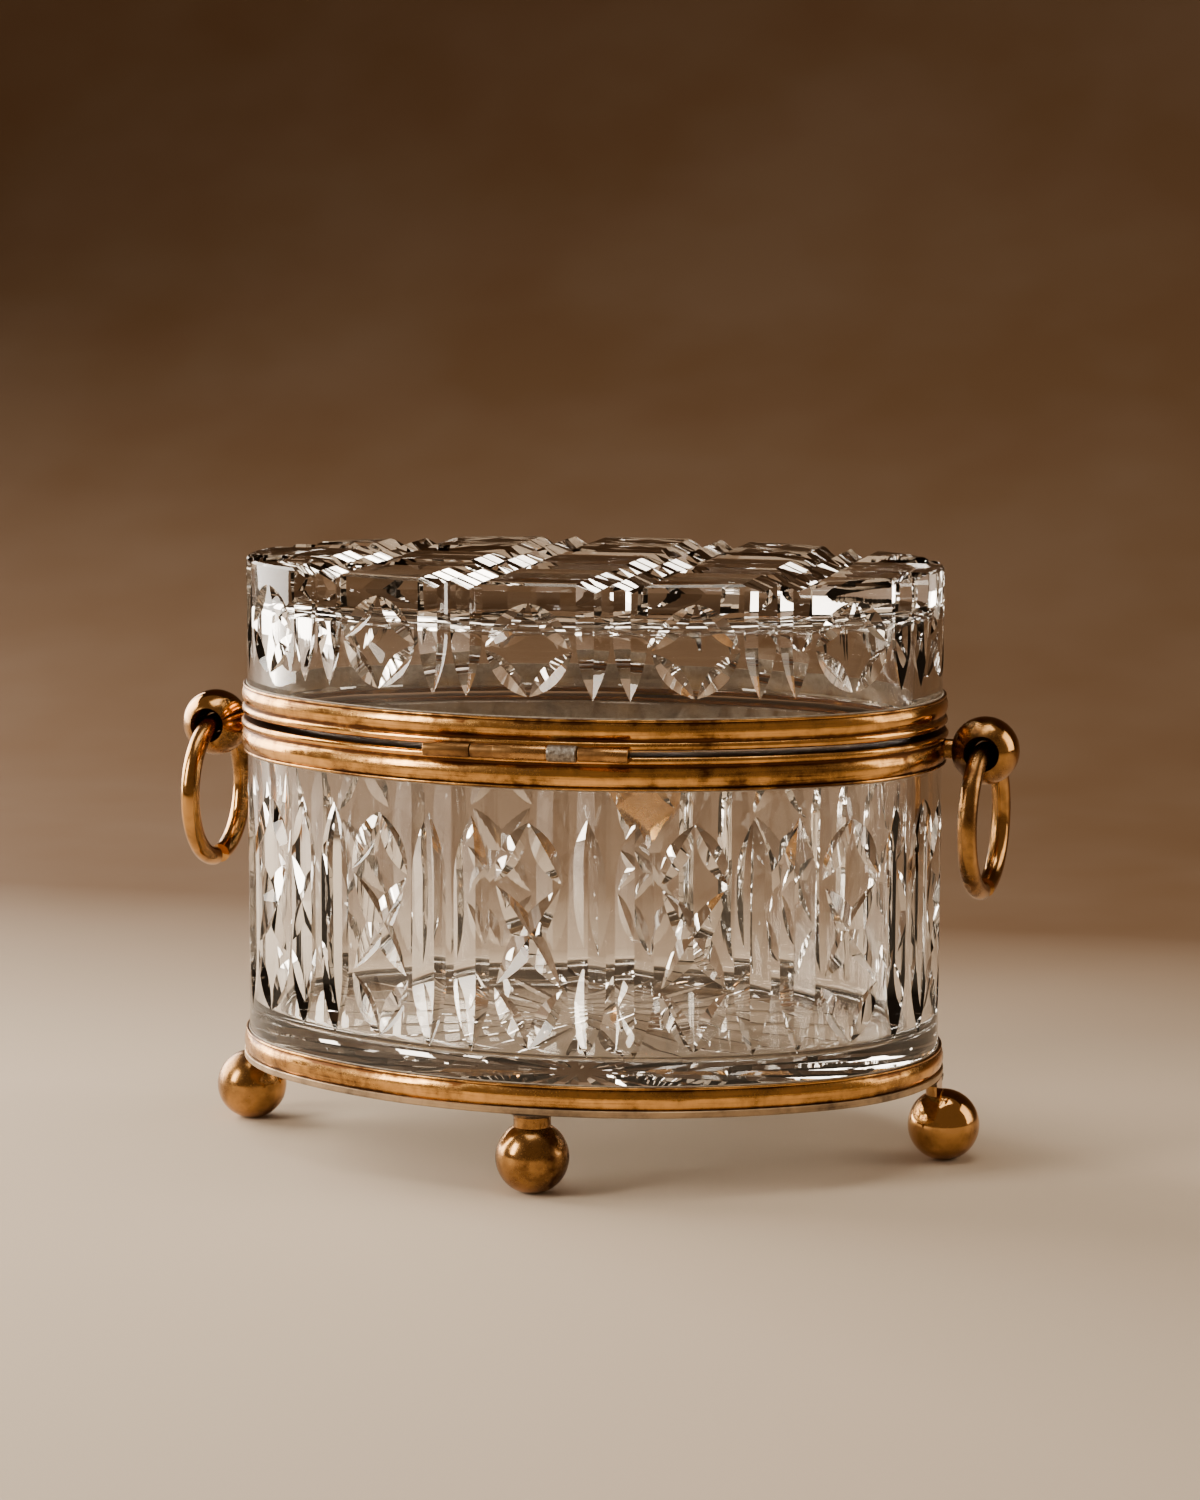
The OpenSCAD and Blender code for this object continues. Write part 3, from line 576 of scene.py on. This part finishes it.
feed(tree, given["Place"], stretched.inputs["Vector"])
streaks = noise(tree, stretched.outputs["Vector"], 1.0, 3, 0.6, (-900, -600))
hollow = node(tree, "ShaderNodeAttribute", (-900, -800), attribute_name="hollow")
tarnish_and_shade_mix = sums(tree, "ADD", spread(tree, blotches, 0.42, 0.72),
                 spread(tree, patches, 0.5, 0.78, 0.0, 0.5))
tarnish_and_shade_mix = sums(tree, "ADD", tarnish_and_shade_mix, sums(
    tree, "MULTIPLY", given["Streak"], spread(tree, streaks, 0.5, 0.8, 0.0, 0.55)))
tarnish_and_shade_mix = sums(tree, "MULTIPLY", tarnish_and_shade_mix, given["Amount"])
# The hollow mark darkens grooves and the parts close to the glass: partly patina, partly painted
# shade standing in for occlusion.
tarnish_and_shade_mix = sums(tree, "ADD", tarnish_and_shade_mix, sums(tree, "MULTIPLY", hollow.outputs["Fac"], 0.85))
tarnish_and_shade_mix = spread(tree, tarnish_and_shade_mix, 0.0, 1.0)
metal = mixed(tree, tarnish_and_shade_mix, given["Gold"], given["Tarnish_and_shade"])
dulled = sums(tree, "ADD", given["Smoothest"], sums(tree, "MULTIPLY", tarnish_and_shade_mix, 0.3))
dulled = sums(tree, "ADD", dulled, spread(tree, pits, 0.5, 0.8, 0.0, 0.12))
lumps = sums(tree, "ADD", sums(tree, "MULTIPLY", blotches, 0.9),
             sums(tree, "MULTIPLY", patches, 0.35))
lumps = sums(tree, "ADD", lumps, sums(tree, "MULTIPLY", pits, 0.06))
lumps = sums(tree, "ADD", lumps, sums(
    tree, "MULTIPLY", given["Streak"], sums(tree, "MULTIPLY", streaks, 0.25)))
result = node(tree, "NodeGroupOutput", (300, 0))
feed(tree, metal, result.inputs["Colour"])
feed(tree, dulled, result.inputs["Roughness"])
feed(tree, lumps, result.inputs["Height"])

# The bands' dark colour is tarnish in patches and painted shade in the hollows.
band_gold, tarnish_and_shade_brown = (0.88, 0.47, 0.14), (0.09, 0.034, 0.010)
band_brass = gilding("gilt_band", band_gold, tarnish_and_shade_brown, 1.0, 1.0, 0.08, 0.00008)
plate_brass = gilding("dull_plate", (0.50, 0.36, 0.22), (0.12, 0.085, 0.06), 0.9, 0.6, 0.38)


def outside_by(point):
    """How far a point stands outside the glass's outline, in millimetres."""
    x, y = abs(point.x) / mm, abs(point.y) / mm
    if math.atan2(y, max(x - end_centre, 1e-9)) < meeting_angle and x > end_centre:
        return math.hypot(x - end_centre, y) - end_r
    return math.hypot(x, y + side_centre) - side_r


def marked_patina_and_shade(obj, low, high):
    """Marks how deep each point lies between two distances outside the glass; the gilding darkens
    these hollows, partly as patina and partly as painted shade.
    """
    marks = obj.data.attributes.new("hollow", "FLOAT", "POINT")
    for vertex, mark in zip(obj.data.vertices, marks.data):
        depth = (high - outside_by(vertex.co)) / (high - low)
        mark.value = min(max(depth, 0), 1) ** 1.5


def bead(start, height, proud, count=12):
    """Arc of a bead on a sleeve, upwards from a height, or downwards if its own is negative."""
    rise = proud - sleeve_out
    r = (height * height / 4 + rise * rise) / (2 * rise)
    half = math.degrees(math.asin(abs(height) / 2 / r)) * (1 if height > 0 else -1)
    return arc(proud - r, start + height / 2, r, -half, half, count)


plate_out, plate_in, softened = 1.2, -9.0, 0.2
base_band_top, fillet_h = 23.0, 0.6
base_plate = spun_round_oval("base_plate_ring", [
    (plate_out - softened, plate_z), (plate_out, plate_z + softened),
    (plate_out, bowl_z - 0.15), (plate_out - 0.15, bowl_z),
    (plate_in + softened, bowl_z), (plate_in, bowl_z - softened),
    (plate_in, plate_z + softened), (plate_in + softened, plate_z),
    (plate_out - softened, plate_z)], 1.6)
base_band = spun_round_oval("base_band", [
    *bead(bowl_z + hair, 4.18, plate_out, 16),
    *bead(base_band_top - fillet_h, fillet_h, 0.87, 6)[1:],
    (bedding_t, base_band_top), (bedding_t, bowl_z + hair), (sleeve_out, bowl_z + hair)], 1.1)
base_plaster = spun_round_oval("base_plaster", [
    (0.04, bowl_z + hair), (bedding_t - 0.01, bowl_z + hair),
    (bedding_t - 0.01, base_band_top + 0.15), (0.12, base_band_top + 0.25),
    (0.04, base_band_top + 0.2), (0.04, bowl_z + hair)], 1.6)
marked_patina_and_shade(base_band, sleeve_out, 1.0)



def marked_brim(obj, edge):
    """Marks the points near the height at which the plaster shows in the open."""
    marks = obj.data.attributes.new("brim", "FLOAT", "POINT")
    for vertex, mark in zip(obj.data.vertices, marks.data):
        mark.value = 1.0 if abs(vertex.co.z / mm - edge) < 0.4 else 0.0


marked_brim(base_plaster, base_band_top + 0.15)
plaster, tree, shader, place = plain_shader("old_plaster")
crumbs = noise(tree, place, 900, 4, 0.6)
stain = noise(tree, place, 60, 4, 0.6, (-900, -300))
brim = node(tree, "ShaderNodeAttribute", (-900, -600), attribute_name="brim")
open_plaster = mixed(tree, spread(tree, crumbs, 0.3, 0.7), (0.50, 0.44, 0.36), (0.26, 0.21, 0.16))
hidden_plaster = mixed(tree, spread(tree, stain, 0.38, 0.62),
                       (0.42, 0.24, 0.08), (0.11, 0.06, 0.03))
feed(tree, mixed(tree, brim.outputs["Fac"], hidden_plaster, open_plaster),
     shader.inputs["Base Color"])
shader.inputs["Roughness"].default_value = 0.85
bumped(tree, shader, crumbs, 0.0001)
for piece, material, nodes, slot in (
        (base_plate, plate_brass, ["base_plate"], "dull_brass"),
        (base_band, band_brass, ["base_rim"], "gilt_brass"),
        (base_plaster, plaster, ["base_bedding"], "plaster")):
    only(piece)
    bpy.ops.object.shade_smooth_by_angle(angle=math.radians(35))
    piece.data.materials.append(material)
    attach(piece, "root")
    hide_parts(*nodes)

# ---- Ball feet ----
# Four turned brass balls, each with a short collar soldered to the base plate and a small
# flat worn under it. The collars of the two end feet stop at the plate's edge. The solder
# shows as a rough grey ring round the collar.

# The balls and rings get a darker copy of the bands' gilding: painted dark reflection of the
# surroundings, on top of their tarnish.
ball_brass_painted_dark = gilding("gilt_ball_painted_dark", (0.56, 0.30, 0.10), (0.07, 0.028, 0.009), 0.95, 0.0, 0.07,
                     0.00003)
solder, tree, shader, place = plain_shader("old_solder")
crust = noise(tree, place, 1400, 4, 0.6)
feed(tree, mixed(tree, spread(tree, crust, 0.35, 0.65), (0.36, 0.33, 0.29), (0.16, 0.13, 0.10)),
     shader.inputs["Base Color"])
shader.inputs["Metallic"].default_value = 1
feed(tree, spread(tree, crust, 0.3, 0.7, 0.35, 0.6), shader.inputs["Roughness"])
bumped(tree, shader, crust, 0.00015)


def turned(name, points, place, axis="Z", steps=96):
    """Turns a section, given as radius and height in millimetres, about an upright axis, or
    about one along Y."""
    clean_slate()
    bpy.ops.mesh.primitive_plane_add(size=0.001)
    obj = bpy.context.object
    obj.name = obj.data.name = name
    bpy.ops.object.mode_set(mode="EDIT")
    bpy.ops.mesh.select_mode(type="VERT")
    bpy.ops.mesh.select_all(action="SELECT")
    bpy.ops.mesh.merge(type="CENTER")
    bpy.ops.transform.translate(value=(points[0][0] * mm, 0, points[0][1] * mm))
    for (r, up), (next_r, next_up) in zip(points, points[1:]):
        bpy.ops.mesh.extrude_region_move(TRANSFORM_OT_translate={
            "value": ((next_r - r) * mm, 0, (next_up - up) * mm)})
    bpy.ops.mesh.select_all(action="SELECT")
    bpy.ops.mesh.spin(steps=steps, angle=-2 * math.pi, center=(0, 0, 0), axis=(0, 0, 1))
    bpy.ops.mesh.select_all(action="SELECT")
    bpy.ops.mesh.remove_doubles(threshold=0.002 * mm)
    bpy.ops.mesh.normals_make_consistent(inside=False)
    bpy.ops.object.mode_set(mode="OBJECT")
    if axis == "Y":
        obj.rotation_euler = (math.pi / 2, 0, 0)
    obj.location = [c * mm for c in place]
    settle(obj)
    return obj


foot_r, foot_flat, collar_r = 7.5, 0.3, 3.8
foot_middle = foot_r - foot_flat
flat_edge = math.degrees(math.asin(foot_middle / foot_r))
collar_edge = math.degrees(math.acos(collar_r / foot_r))
collar_join = foot_middle + foot_r * math.sin(math.radians(collar_edge))
foot_x, foot_y, plate_edge = 75.9, 48.9, half_length + 1.1


def joined(obj, other):
    """Joins another object to this one and throws the other away."""
    only(obj)
    union = obj.modifiers.new("union", "BOOLEAN")
    union.operation = "UNION"
    union.solver = "EXACT"
    union.object = other
    bpy.ops.object.modifier_apply(modifier=union.name)
    thrown_away(other)


def trimmed(obj, end):
    """Takes off what stands past the plate's edge at one end."""
    only(obj)
    bpy.ops.object.mode_set(mode="EDIT")
    bpy.ops.mesh.select_all(action="SELECT")
    bpy.ops.mesh.bisect(plane_co=(end * plate_edge * mm, 0, 0), plane_no=(end, 0, 0),
                        clear_outer=True, use_fill=True)
    bpy.ops.object.mode_set(mode="OBJECT")


for name, x, y, end in (("rear", 0, -foot_y, 0), ("front", 0, foot_y, 0),
                        ("left", -foot_x, 0, -1), ("right", foot_x, 0, 1)):
    foot = turned("ball_foot_" + name, [
        (0, 0), *arc(0, foot_middle, foot_r, -flat_edge, 89, 56),
        (0, foot_middle + foot_r)], (x, y, 0))
    collar = turned("collar", [
        (0, collar_join - 1.5), (collar_r, collar_join - 1.5), (collar_r, plate_z - 0.05),
        (0, plate_z - 0.05)], (x, y, 0))
    blob = turned("foot_solder_" + name, [
        (collar_r - 0.3, plate_z - hair), (collar_r + 1.7, plate_z - hair),
        (collar_r + 1.3, plate_z - 0.25), (collar_r + 0.6, plate_z - 0.5),
        (collar_r + 0.25, plate_z - 0.95), (collar_r - 0.3, plate_z - 1.1),
        (collar_r - 0.3, plate_z - hair)], (x, y, 0))
    if end:
        trimmed(collar, end)
        trimmed(blob, end)
    joined(foot, collar)
    bpy.ops.object.shade_smooth_by_angle(angle=math.radians(40))
    foot.data.materials.append(ball_brass_painted_dark)
    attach(foot, "root")
    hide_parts("foot_" + name)
    only(blob)
    bpy.ops.object.shade_smooth_by_angle(angle=math.radians(50))
    blob.data.materials.append(solder)
    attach(blob, "root")
    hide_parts("foot_" + name)

# ---- Bowl rim and lid rim ----
# Two brass bands drawn in the same moulding: a small bead at the parting line, a narrow
# groove, a large roll and a fine fillet. Each has a flange over the glass's edge and is
# bedded in plaster.

bowl_rim_top, lid_rim_z = 89.7, 90.9
lock_y, shield_half, catch_half = 53.1, 10.5, 7.5


def block(name, low, high, soft=0.0):
    """A box between two corners, its edges softened."""
    clean_slate()
    middle = [(a + b) / 2 * mm for a, b in zip(low, high)]
    bpy.ops.mesh.primitive_cube_add(size=1, location=middle,
                                    scale=[(b - a) * mm for a, b in zip(low, high)])
    obj = bpy.context.object
    obj.name = obj.data.name = name
    settle(obj)
    if soft:
        bpy.ops.object.mode_set(mode="EDIT")
        bpy.ops.mesh.select_all(action="SELECT")
        bpy.ops.mesh.bevel(offset=soft * mm, segments=3, affect="EDGES")
        bpy.ops.object.mode_set(mode="OBJECT")
    return obj


bowl_band_low, lid_band_top, flange_in = 82.8, 97.0, -6.0
bowl_band = spun_round_oval("bowl_band", [
    (flange_in + softened, bowl_rim_top), *bead(bowl_rim_top, -1.7, 1.3),
    *bead(87.6, -4.2, 1.3, 18), *bead(bowl_band_low + fillet_h, -fillet_h, 0.92, 6)[1:],
    (bedding_t, bowl_band_low), (bedding_t, bowl_top + hair),
    (flange_in + softened, bowl_top + hair), (flange_in, bowl_top + softened),
    (flange_in, bowl_rim_top - softened), (flange_in + softened, bowl_rim_top)], 1.1)
lid_band = spun_round_oval("lid_band", [
    (flange_in + softened, lid_rim_z), *bead(lid_rim_z, 1.7, 1.1), *bead(93.0, 3.4, 1.1, 18),
    *bead(lid_band_top - fillet_h, fillet_h, 0.82, 6)[1:],
    (bedding_t, lid_band_top), (bedding_t, lid_z - hair),
    (flange_in + softened, lid_z - hair), (flange_in, lid_z - softened),
    (flange_in, lid_rim_z + softened), (flange_in + softened, lid_rim_z)], 1.1)
for band, half, low, high in ((bowl_band, shield_half, 82, 90.2), (lid_band, catch_half, 90.3, 98)):
    room_for_lock = block("room_for_lock", (-half, lock_y, low), (half, 60, high))
    cut_away(band, room_for_lock)
    thrown_away(room_for_lock)
# These marks darken the bands' grooves and their edges by the glass: partly patina, partly painted
# shade.
marked_patina_and_shade(bowl_band, sleeve_out, 1.1)
marked_patina_and_shade(lid_band, sleeve_out, 0.95)
bowl_plaster = spun_round_oval("bowl_plaster", [
    (0.04, bowl_band_low - 0.2), (0.12, bowl_band_low - 0.3),
    (bedding_t - 0.01, bowl_band_low - 0.2), (bedding_t - 0.01, bowl_top),
    (0.04, bowl_top), (0.04, bowl_band_low - 0.2)], 1.6)
lid_plaster = spun_round_oval("lid_plaster", [
    (0.04, lid_z), (bedding_t - 0.01, lid_z), (bedding_t - 0.01, lid_band_top + 0.15),
    (0.12, lid_band_top + 0.25), (0.04, lid_band_top + 0.2), (0.04, lid_z)], 1.6)
marked_brim(bowl_plaster, bowl_band_low - 0.2)
marked_brim(lid_plaster, lid_band_top + 0.15)
for piece, material, body, nodes, slot in (
        (bowl_band, band_brass, "root", ["bowl_rim"], "gilt_brass"),
        (lid_band, band_brass, "lid", ["lid_rim"], "gilt_brass"),
        (bowl_plaster, plaster, "root", ["bowl_bedding"], "plaster"),
        (lid_plaster, plaster, "lid", ["lid_bedding"], "plaster")):
    only(piece)
    bpy.ops.object.shade_smooth_by_angle(angle=math.radians(35))
    piece.data.materials.append(material)
    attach(piece, body)
    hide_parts(*nodes)

# ---- Hinge ----
# Three knuckles rolled from brass sheet turn on a steel pin. Their leaves are soldered into
# the flanges of the rims. The lid's knuckle has an old repair at its right.

# The hinge gets a darker, fully tarnished copy of the gilding: partly tarnish, partly painted shade
# round the knuckles.
hinge_brass_painted_dark = gilding("hinge_brass_painted_dark", (0.52, 0.28, 0.10), (0.07, 0.030, 0.012), 1.0, 0.0, 0.18)
hinge_y, hinge_z = -54.3, 90.3
hinge_half, lid_knuckle_left, lid_knuckle_right, knuckle_gap = 20.95, -11.2, 10.6, 0.15
barrel_r, pin_r, rounding = 1.45, 0.6, 0.18
leaf_w, leaf_t, bowl_leaf_z = 4.8, 0.76, bowl_rim_top - 0.8
for name, start, end, leaf_z, body in (
        ("left", -hinge_half, lid_knuckle_left - knuckle_gap, bowl_leaf_z, "root"),
        ("lid", lid_knuckle_left, lid_knuckle_right, lid_rim_z, "lid"),
        ("right", lid_knuckle_right + knuckle_gap, hinge_half, bowl_leaf_z, "root")):
    clean_slate()
    bpy.ops.mesh.primitive_cylinder_add(
        vertices=64, radius=barrel_r * mm, depth=(end - start) * mm,
        location=((start + end) / 2 * mm, hinge_y * mm, hinge_z * mm),
        rotation=(0, math.pi / 2, 0))
    barrel = bpy.context.object
    barrel.name = barrel.data.name = "hinge_barrel_" + name
    settle(barrel)
    picked(barrel, "FACE", lambda face: abs(face.normal.x) > 0.9)
    bpy.ops.mesh.bevel(offset=rounding * mm, segments=3, affect="EDGES")
    picked(barrel, "FACE", lambda face: abs(face.normal.x) > 0.99 and len(face.vertices) > 20)
    bpy.ops.mesh.inset(thickness=(barrel_r - rounding - pin_r - 0.05) * mm)
    bpy.ops.object.mode_set(mode="OBJECT")
    clean_slate()
    bpy.ops.mesh.primitive_cube_add(
        size=1,
        location=((start + end) / 2 * mm, (hinge_y + leaf_w / 2) * mm, (leaf_z + 0.4) * mm),
        scale=((end - start) * mm, leaf_w * mm, leaf_t * mm))
    leaf = bpy.context.object
    settle(leaf)
    bpy.ops.object.mode_set(mode="EDIT")
    bpy.ops.mesh.select_all(action="SELECT")
    bpy.ops.mesh.bevel(offset=0.1 * mm, segments=2, affect="EDGES")
    bpy.ops.object.mode_set(mode="OBJECT")
    joined(barrel, leaf)
    bpy.ops.object.shade_smooth_by_angle(angle=math.radians(35))
    barrel.data.materials.append(hinge_brass_painted_dark)
    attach(barrel, body)
    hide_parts("hinge_knuckle_" + name)

repair_r, repair_length, repair_x = 1.6, 10.8, -1.1
lump_r, lump_length, lump_x = 1.66, 6.2, 7.45
clean_slate()
bpy.ops.mesh.primitive_cylinder_add(
    vertices=64, radius=repair_r * mm, depth=repair_length * mm,
    location=(repair_x * mm, hinge_y * mm, hinge_z * mm), rotation=(0, math.pi / 2, 0))
repair = bpy.context.object
repair.name = repair.data.name = "hinge_repair_tube"
settle(repair)
bpy.ops.object.mode_set(mode="EDIT")
bpy.ops.mesh.select_all(action="SELECT")
bpy.ops.mesh.bevel(offset=0.12 * mm, segments=3, affect="EDGES")
bpy.ops.object.mode_set(mode="OBJECT")
clean_slate()
bpy.ops.mesh.primitive_cylinder_add(
    vertices=48, radius=lump_r * mm, depth=lump_length * mm,
    location=(lump_x * mm, hinge_y * mm, hinge_z * mm), rotation=(0, math.pi / 2, 0))
lump = bpy.context.object
lump.name = lump.data.name = "hinge_solder_lump"
settle(lump)
picked(lump, "EDGE", lambda edge: abs(
    lump.data.vertices[edge.vertices[0]].co.x - lump.data.vertices[edge.vertices[1]].co.x) > mm)
bpy.ops.mesh.subdivide(number_cuts=20)
bpy.ops.object.mode_set(mode="OBJECT")
picked(lump, "FACE", lambda face: abs(face.normal.x) > 0.9)
bpy.ops.mesh.bevel(offset=0.5 * mm, segments=4, affect="EDGES")
bpy.ops.mesh.select_all(action="SELECT")
bpy.ops.transform.vertex_random(offset=0.045 * mm, uniform=0.6, normal=0.4, seed=4)
bpy.ops.object.mode_set(mode="OBJECT")
for piece, material, slot in ((repair, hinge_brass_painted_dark, "gilt_brass"), (lump, solder, "dull_brass")):
    only(piece)
    bpy.ops.object.shade_smooth_by_angle(angle=math.radians(50))
    piece.data.materials.append(material)
    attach(piece, "lid")
    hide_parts("hinge_knuckle_lid")

# ---- Handles ----
# A bored brass ball is soldered to each end of the bowl's rim, and a split ring of round
# wire hangs in the bore. The rings hang a little askew.

handle_x, handle_z, handle_r = 83.4, 86.3, 7.05
ring_r, wire_r, ring_gap, play, neck_r = 14.5, 2.0, 3.5, 0.12, 2.1
bore_r = ring_r - wire_r - play
mouth = (handle_r ** 2 - bore_r ** 2 + ring_r ** 2) / (2 * ring_r)
mouth_up = math.sqrt(handle_r ** 2 - mouth ** 2)
ball_angle = math.degrees(math.atan2(mouth_up, mouth))
bore_angle = math.degrees(math.atan2(mouth_up, mouth - ring_r))
for name, end, askew in (("left", -1, -3.5), ("right", 1, -5.5)):
    ball = turned("handle_ball_" + name + "_gilt", [
        *arc(0, 0, handle_r, -ball_angle, ball_angle, 48),
        *arc(ring_r, 0, bore_r, bore_angle, 360 - bore_angle, 28)[1:]],
        (end * handle_x, 0, handle_z), "Y")
    clean_slate()
    neck_from, neck_to = half_length + 0.5, handle_x - handle_r + 1
    bpy.ops.mesh.primitive_cylinder_add(
        vertices=48, radius=neck_r * mm, depth=(neck_to - neck_from) * mm,
        location=(end * (neck_from + neck_to) / 2 * mm, 0, handle_z * mm),
        rotation=(0, math.pi / 2, 0))
    neck = bpy.context.object
    settle(neck)
    joined(ball, neck)
    bpy.ops.object.shade_smooth_by_angle(angle=math.radians(40))
    ball.data.materials.append(ball_brass_painted_dark)
    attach(ball, "root")
    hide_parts("handle_ball_" + name)

    clean_slate()
    bpy.ops.mesh.primitive_circle_add(vertices=40, radius=wire_r * mm, fill_type="NGON",
                                      location=(0, 0, -ring_r * mm),
                                      rotation=(math.pi / 2, 0, 0))
    ring = bpy.context.object
    ring.name = ring.data.name = "hanging_ring_" + name
    settle(ring)
    opening = math.asin(ring_gap / 2 / ring_r)
    bpy.ops.object.mode_set(mode="EDIT")
    bpy.ops.mesh.select_all(action="SELECT")
    bpy.ops.transform.rotate(value=-opening, orient_axis="X", center_override=(0, 0, 0))
    bpy.ops.mesh.spin(steps=120, angle=-(2 * math.pi - 2 * opening), center=(0, 0, 0),
                      axis=(1, 0, 0))
    bpy.ops.mesh.select_all(action="SELECT")
    bpy.ops.mesh.remove_doubles(threshold=0.001 * mm)
    bpy.ops.mesh.normals_make_consistent(inside=False)
    bpy.ops.object.mode_set(mode="OBJECT")
    ring.location = (end * handle_x * mm, 0, (handle_z - ring_r) * mm)
    ring.rotation_euler = (0, 0, math.radians(askew))
    settle(ring)
    bpy.ops.object.shade_smooth_by_angle(angle=math.radians(40))
    ring.data.materials.append(ball_brass_painted_dark)
    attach(ring, "ring_" + name)
    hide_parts("handle_ring_" + name)

# ---- Lock ----
# A shallow brass case on the far side, closed by a pointed shield that three screws hold.
# The catch on the lid's rim drops its tongue into the case, where a steel bolt slides into
# the tongue's notch. A flat spring presses on the bolt, and a pin guides a hollow key.

shield_brass = gilding("shield_brass", (0.80, 0.46, 0.16), (0.14, 0.060, 0.020), 0.65, 0.4, 0.2)
case_front, shield_front, case_wall = 56.8, 57.7, 0.6
case_top, shoulder_z, key_z = 89.4, 77.4, 75.4
keyhole_r, keyhole_half, screw_r, driver_half = 1.7, 0.65, 1.2, 0.14
screw_places = ((-7.9, 74.4), (7.9, 74.4), (0, 60.4))
tongue_back, tongue_front, tongue_low = 54.0, 55.4, 83.5
beyond = 1
point_length = 23.5
point_r = (point_length ** 2 + shield_half ** 2) / 2 / shield_half


def shield_block(name, start, end, margin=0.0):
    """The shield's outline, drawn in by a margin, from one depth to another."""
    r = point_r - margin
    turn = math.degrees(math.acos((point_r - shield_half) / r))
    side = arc(shield_half - point_r, shoulder_z, r, 0, -turn, 24)
    points = [(shield_half - margin, case_top - margin), *side]
    points += [(-x, z) for x, z in reversed(points[:-1])]
    clean_slate()
    bpy.ops.mesh.primitive_circle_add(vertices=len(points), radius=0.01, fill_type="NGON",
                                      rotation=(math.pi / 2, 0, 0))
    obj = bpy.context.object
    obj.name = obj.data.name = name
    settle(obj)
    for vertex, (x, z) in zip(obj.data.vertices, points):
        vertex.co = (x * mm, start * mm, z * mm)
    bpy.ops.object.mode_set(mode="EDIT")
    bpy.ops.mesh.select_all(action="SELECT")
    bpy.ops.mesh.extrude_region_move(TRANSFORM_OT_translate={
        "value": (0, (end - start) * mm, 0)})
    bpy.ops.mesh.select_all(action="SELECT")
    bpy.ops.mesh.normals_make_consistent(inside=False)
    bpy.ops.object.mode_set(mode="OBJECT")
    return obj


def rod(name, r, start, end, x, z):
    """A round bar along Y."""
    clean_slate()
    bpy.ops.mesh.primitive_cylinder_add(
        vertices=64, radius=r * mm, depth=(end - start) * mm,
        location=(x * mm, (start + end) / 2 * mm, z * mm), rotation=(math.pi / 2, 0, 0))
    obj = bpy.context.object
    obj.name = obj.data.name = name
    settle(obj)
    return obj


def front_softened(obj, depth, width, segments=3):
    """Softens the edges round the face at a depth."""
    picked(obj, "EDGE", lambda edge: all(
        abs(obj.data.vertices[i].co.y - depth * mm) < 0.001 * mm for i in edge.vertices))
    bpy.ops.mesh.bevel(offset=width * mm, segments=segments, affect="EDGES")
    bpy.ops.object.mode_set(mode="OBJECT")


case = shield_block("lock_case_shell", lock_y, case_front)
hollow_part = shield_block("case_hollow", lock_y + case_wall, case_front + beyond, case_wall)
slot_part = block("case_slot", (-5.2, 53.8, case_top - 1.6), (5.2, 55.95, case_top + beyond))
cut_away(case, hollow_part)
cut_away(case, slot_part)
shield = shield_block("lock_shield", case_front, shield_front)
front_softened(shield, shield_front, 0.35, 4)
key_round = rod("key_round", keyhole_r, case_front - beyond, shield_front + beyond, 0, key_z)
key_slot = block("key_slot", (-keyhole_half, case_front - beyond, key_z - 5.2),
                 (keyhole_half, shield_front + beyond, key_z))
cut_away(shield, key_round)
cut_away(shield, key_slot)
screws = []
for number, (x, z) in enumerate(screw_places):
    head = rod("shield_screw_%d" % number, screw_r, shield_front + 0.01, shield_front + 0.4, x, z)
    front_softened(head, shield_front + 0.4, 0.2)
    driver = block("driver_slot", (-driver_half, shield_front + 0.2, -1.5),
                   (driver_half, shield_front + beyond, 1.5))
    cut_away(head, driver, [Matrix.Translation((x * mm, 0, z * mm))
                            @ Matrix.Rotation(0.5 + 0.9 * number, 4, "Y")])
    screws.append(head)
    thrown_away(driver)
catch = block("lid_catch_plate", (-catch_half, lock_y, lid_rim_z),
              (catch_half, tongue_front, lid_band_top), 0.25)
tongue = block("catch_tongue", (-5, tongue_back, tongue_low), (5, tongue_front, 92.0))
notch = block("catch_notch", (2.5, tongue_back - beyond, tongue_low + 1), (6, 57, 86.9))
cut_away(tongue, notch)
joined(catch, tongue)
thrown_away(hollow_part, slot_part, key_round, key_slot, notch)
for piece, body, replaced in ((case, "root", "lock_case"), (shield, "root", "shield_plate"),
                              (catch, "lid", "lid_catch"),
                              *((head, "root", "shield_screws") for head in screws)):
    only(piece)
    bpy.ops.object.shade_smooth_by_angle(angle=math.radians(30))
    piece.data.materials.append(shield_brass)
    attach(piece, body)
    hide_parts(replaced)

steel, tree, shader, place = plain_shader("grey_steel")
fine = noise(tree, place, 700, 4, 0.6)
feed(tree, mixed(tree, spread(tree, fine, 0.35, 0.7), (0.42, 0.41, 0.39), (0.22, 0.17, 0.13)),
     shader.inputs["Base Color"])
shader.inputs["Metallic"].default_value = 1
feed(tree, spread(tree, fine, 0.3, 0.7, 0.28, 0.5), shader.inputs["Roughness"])
for name in ("hinge_pin", "lock_bolt", "bolt_spring", "key_pin"):
    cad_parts[name].data.materials.clear()
    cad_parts[name].data.materials.append(steel)
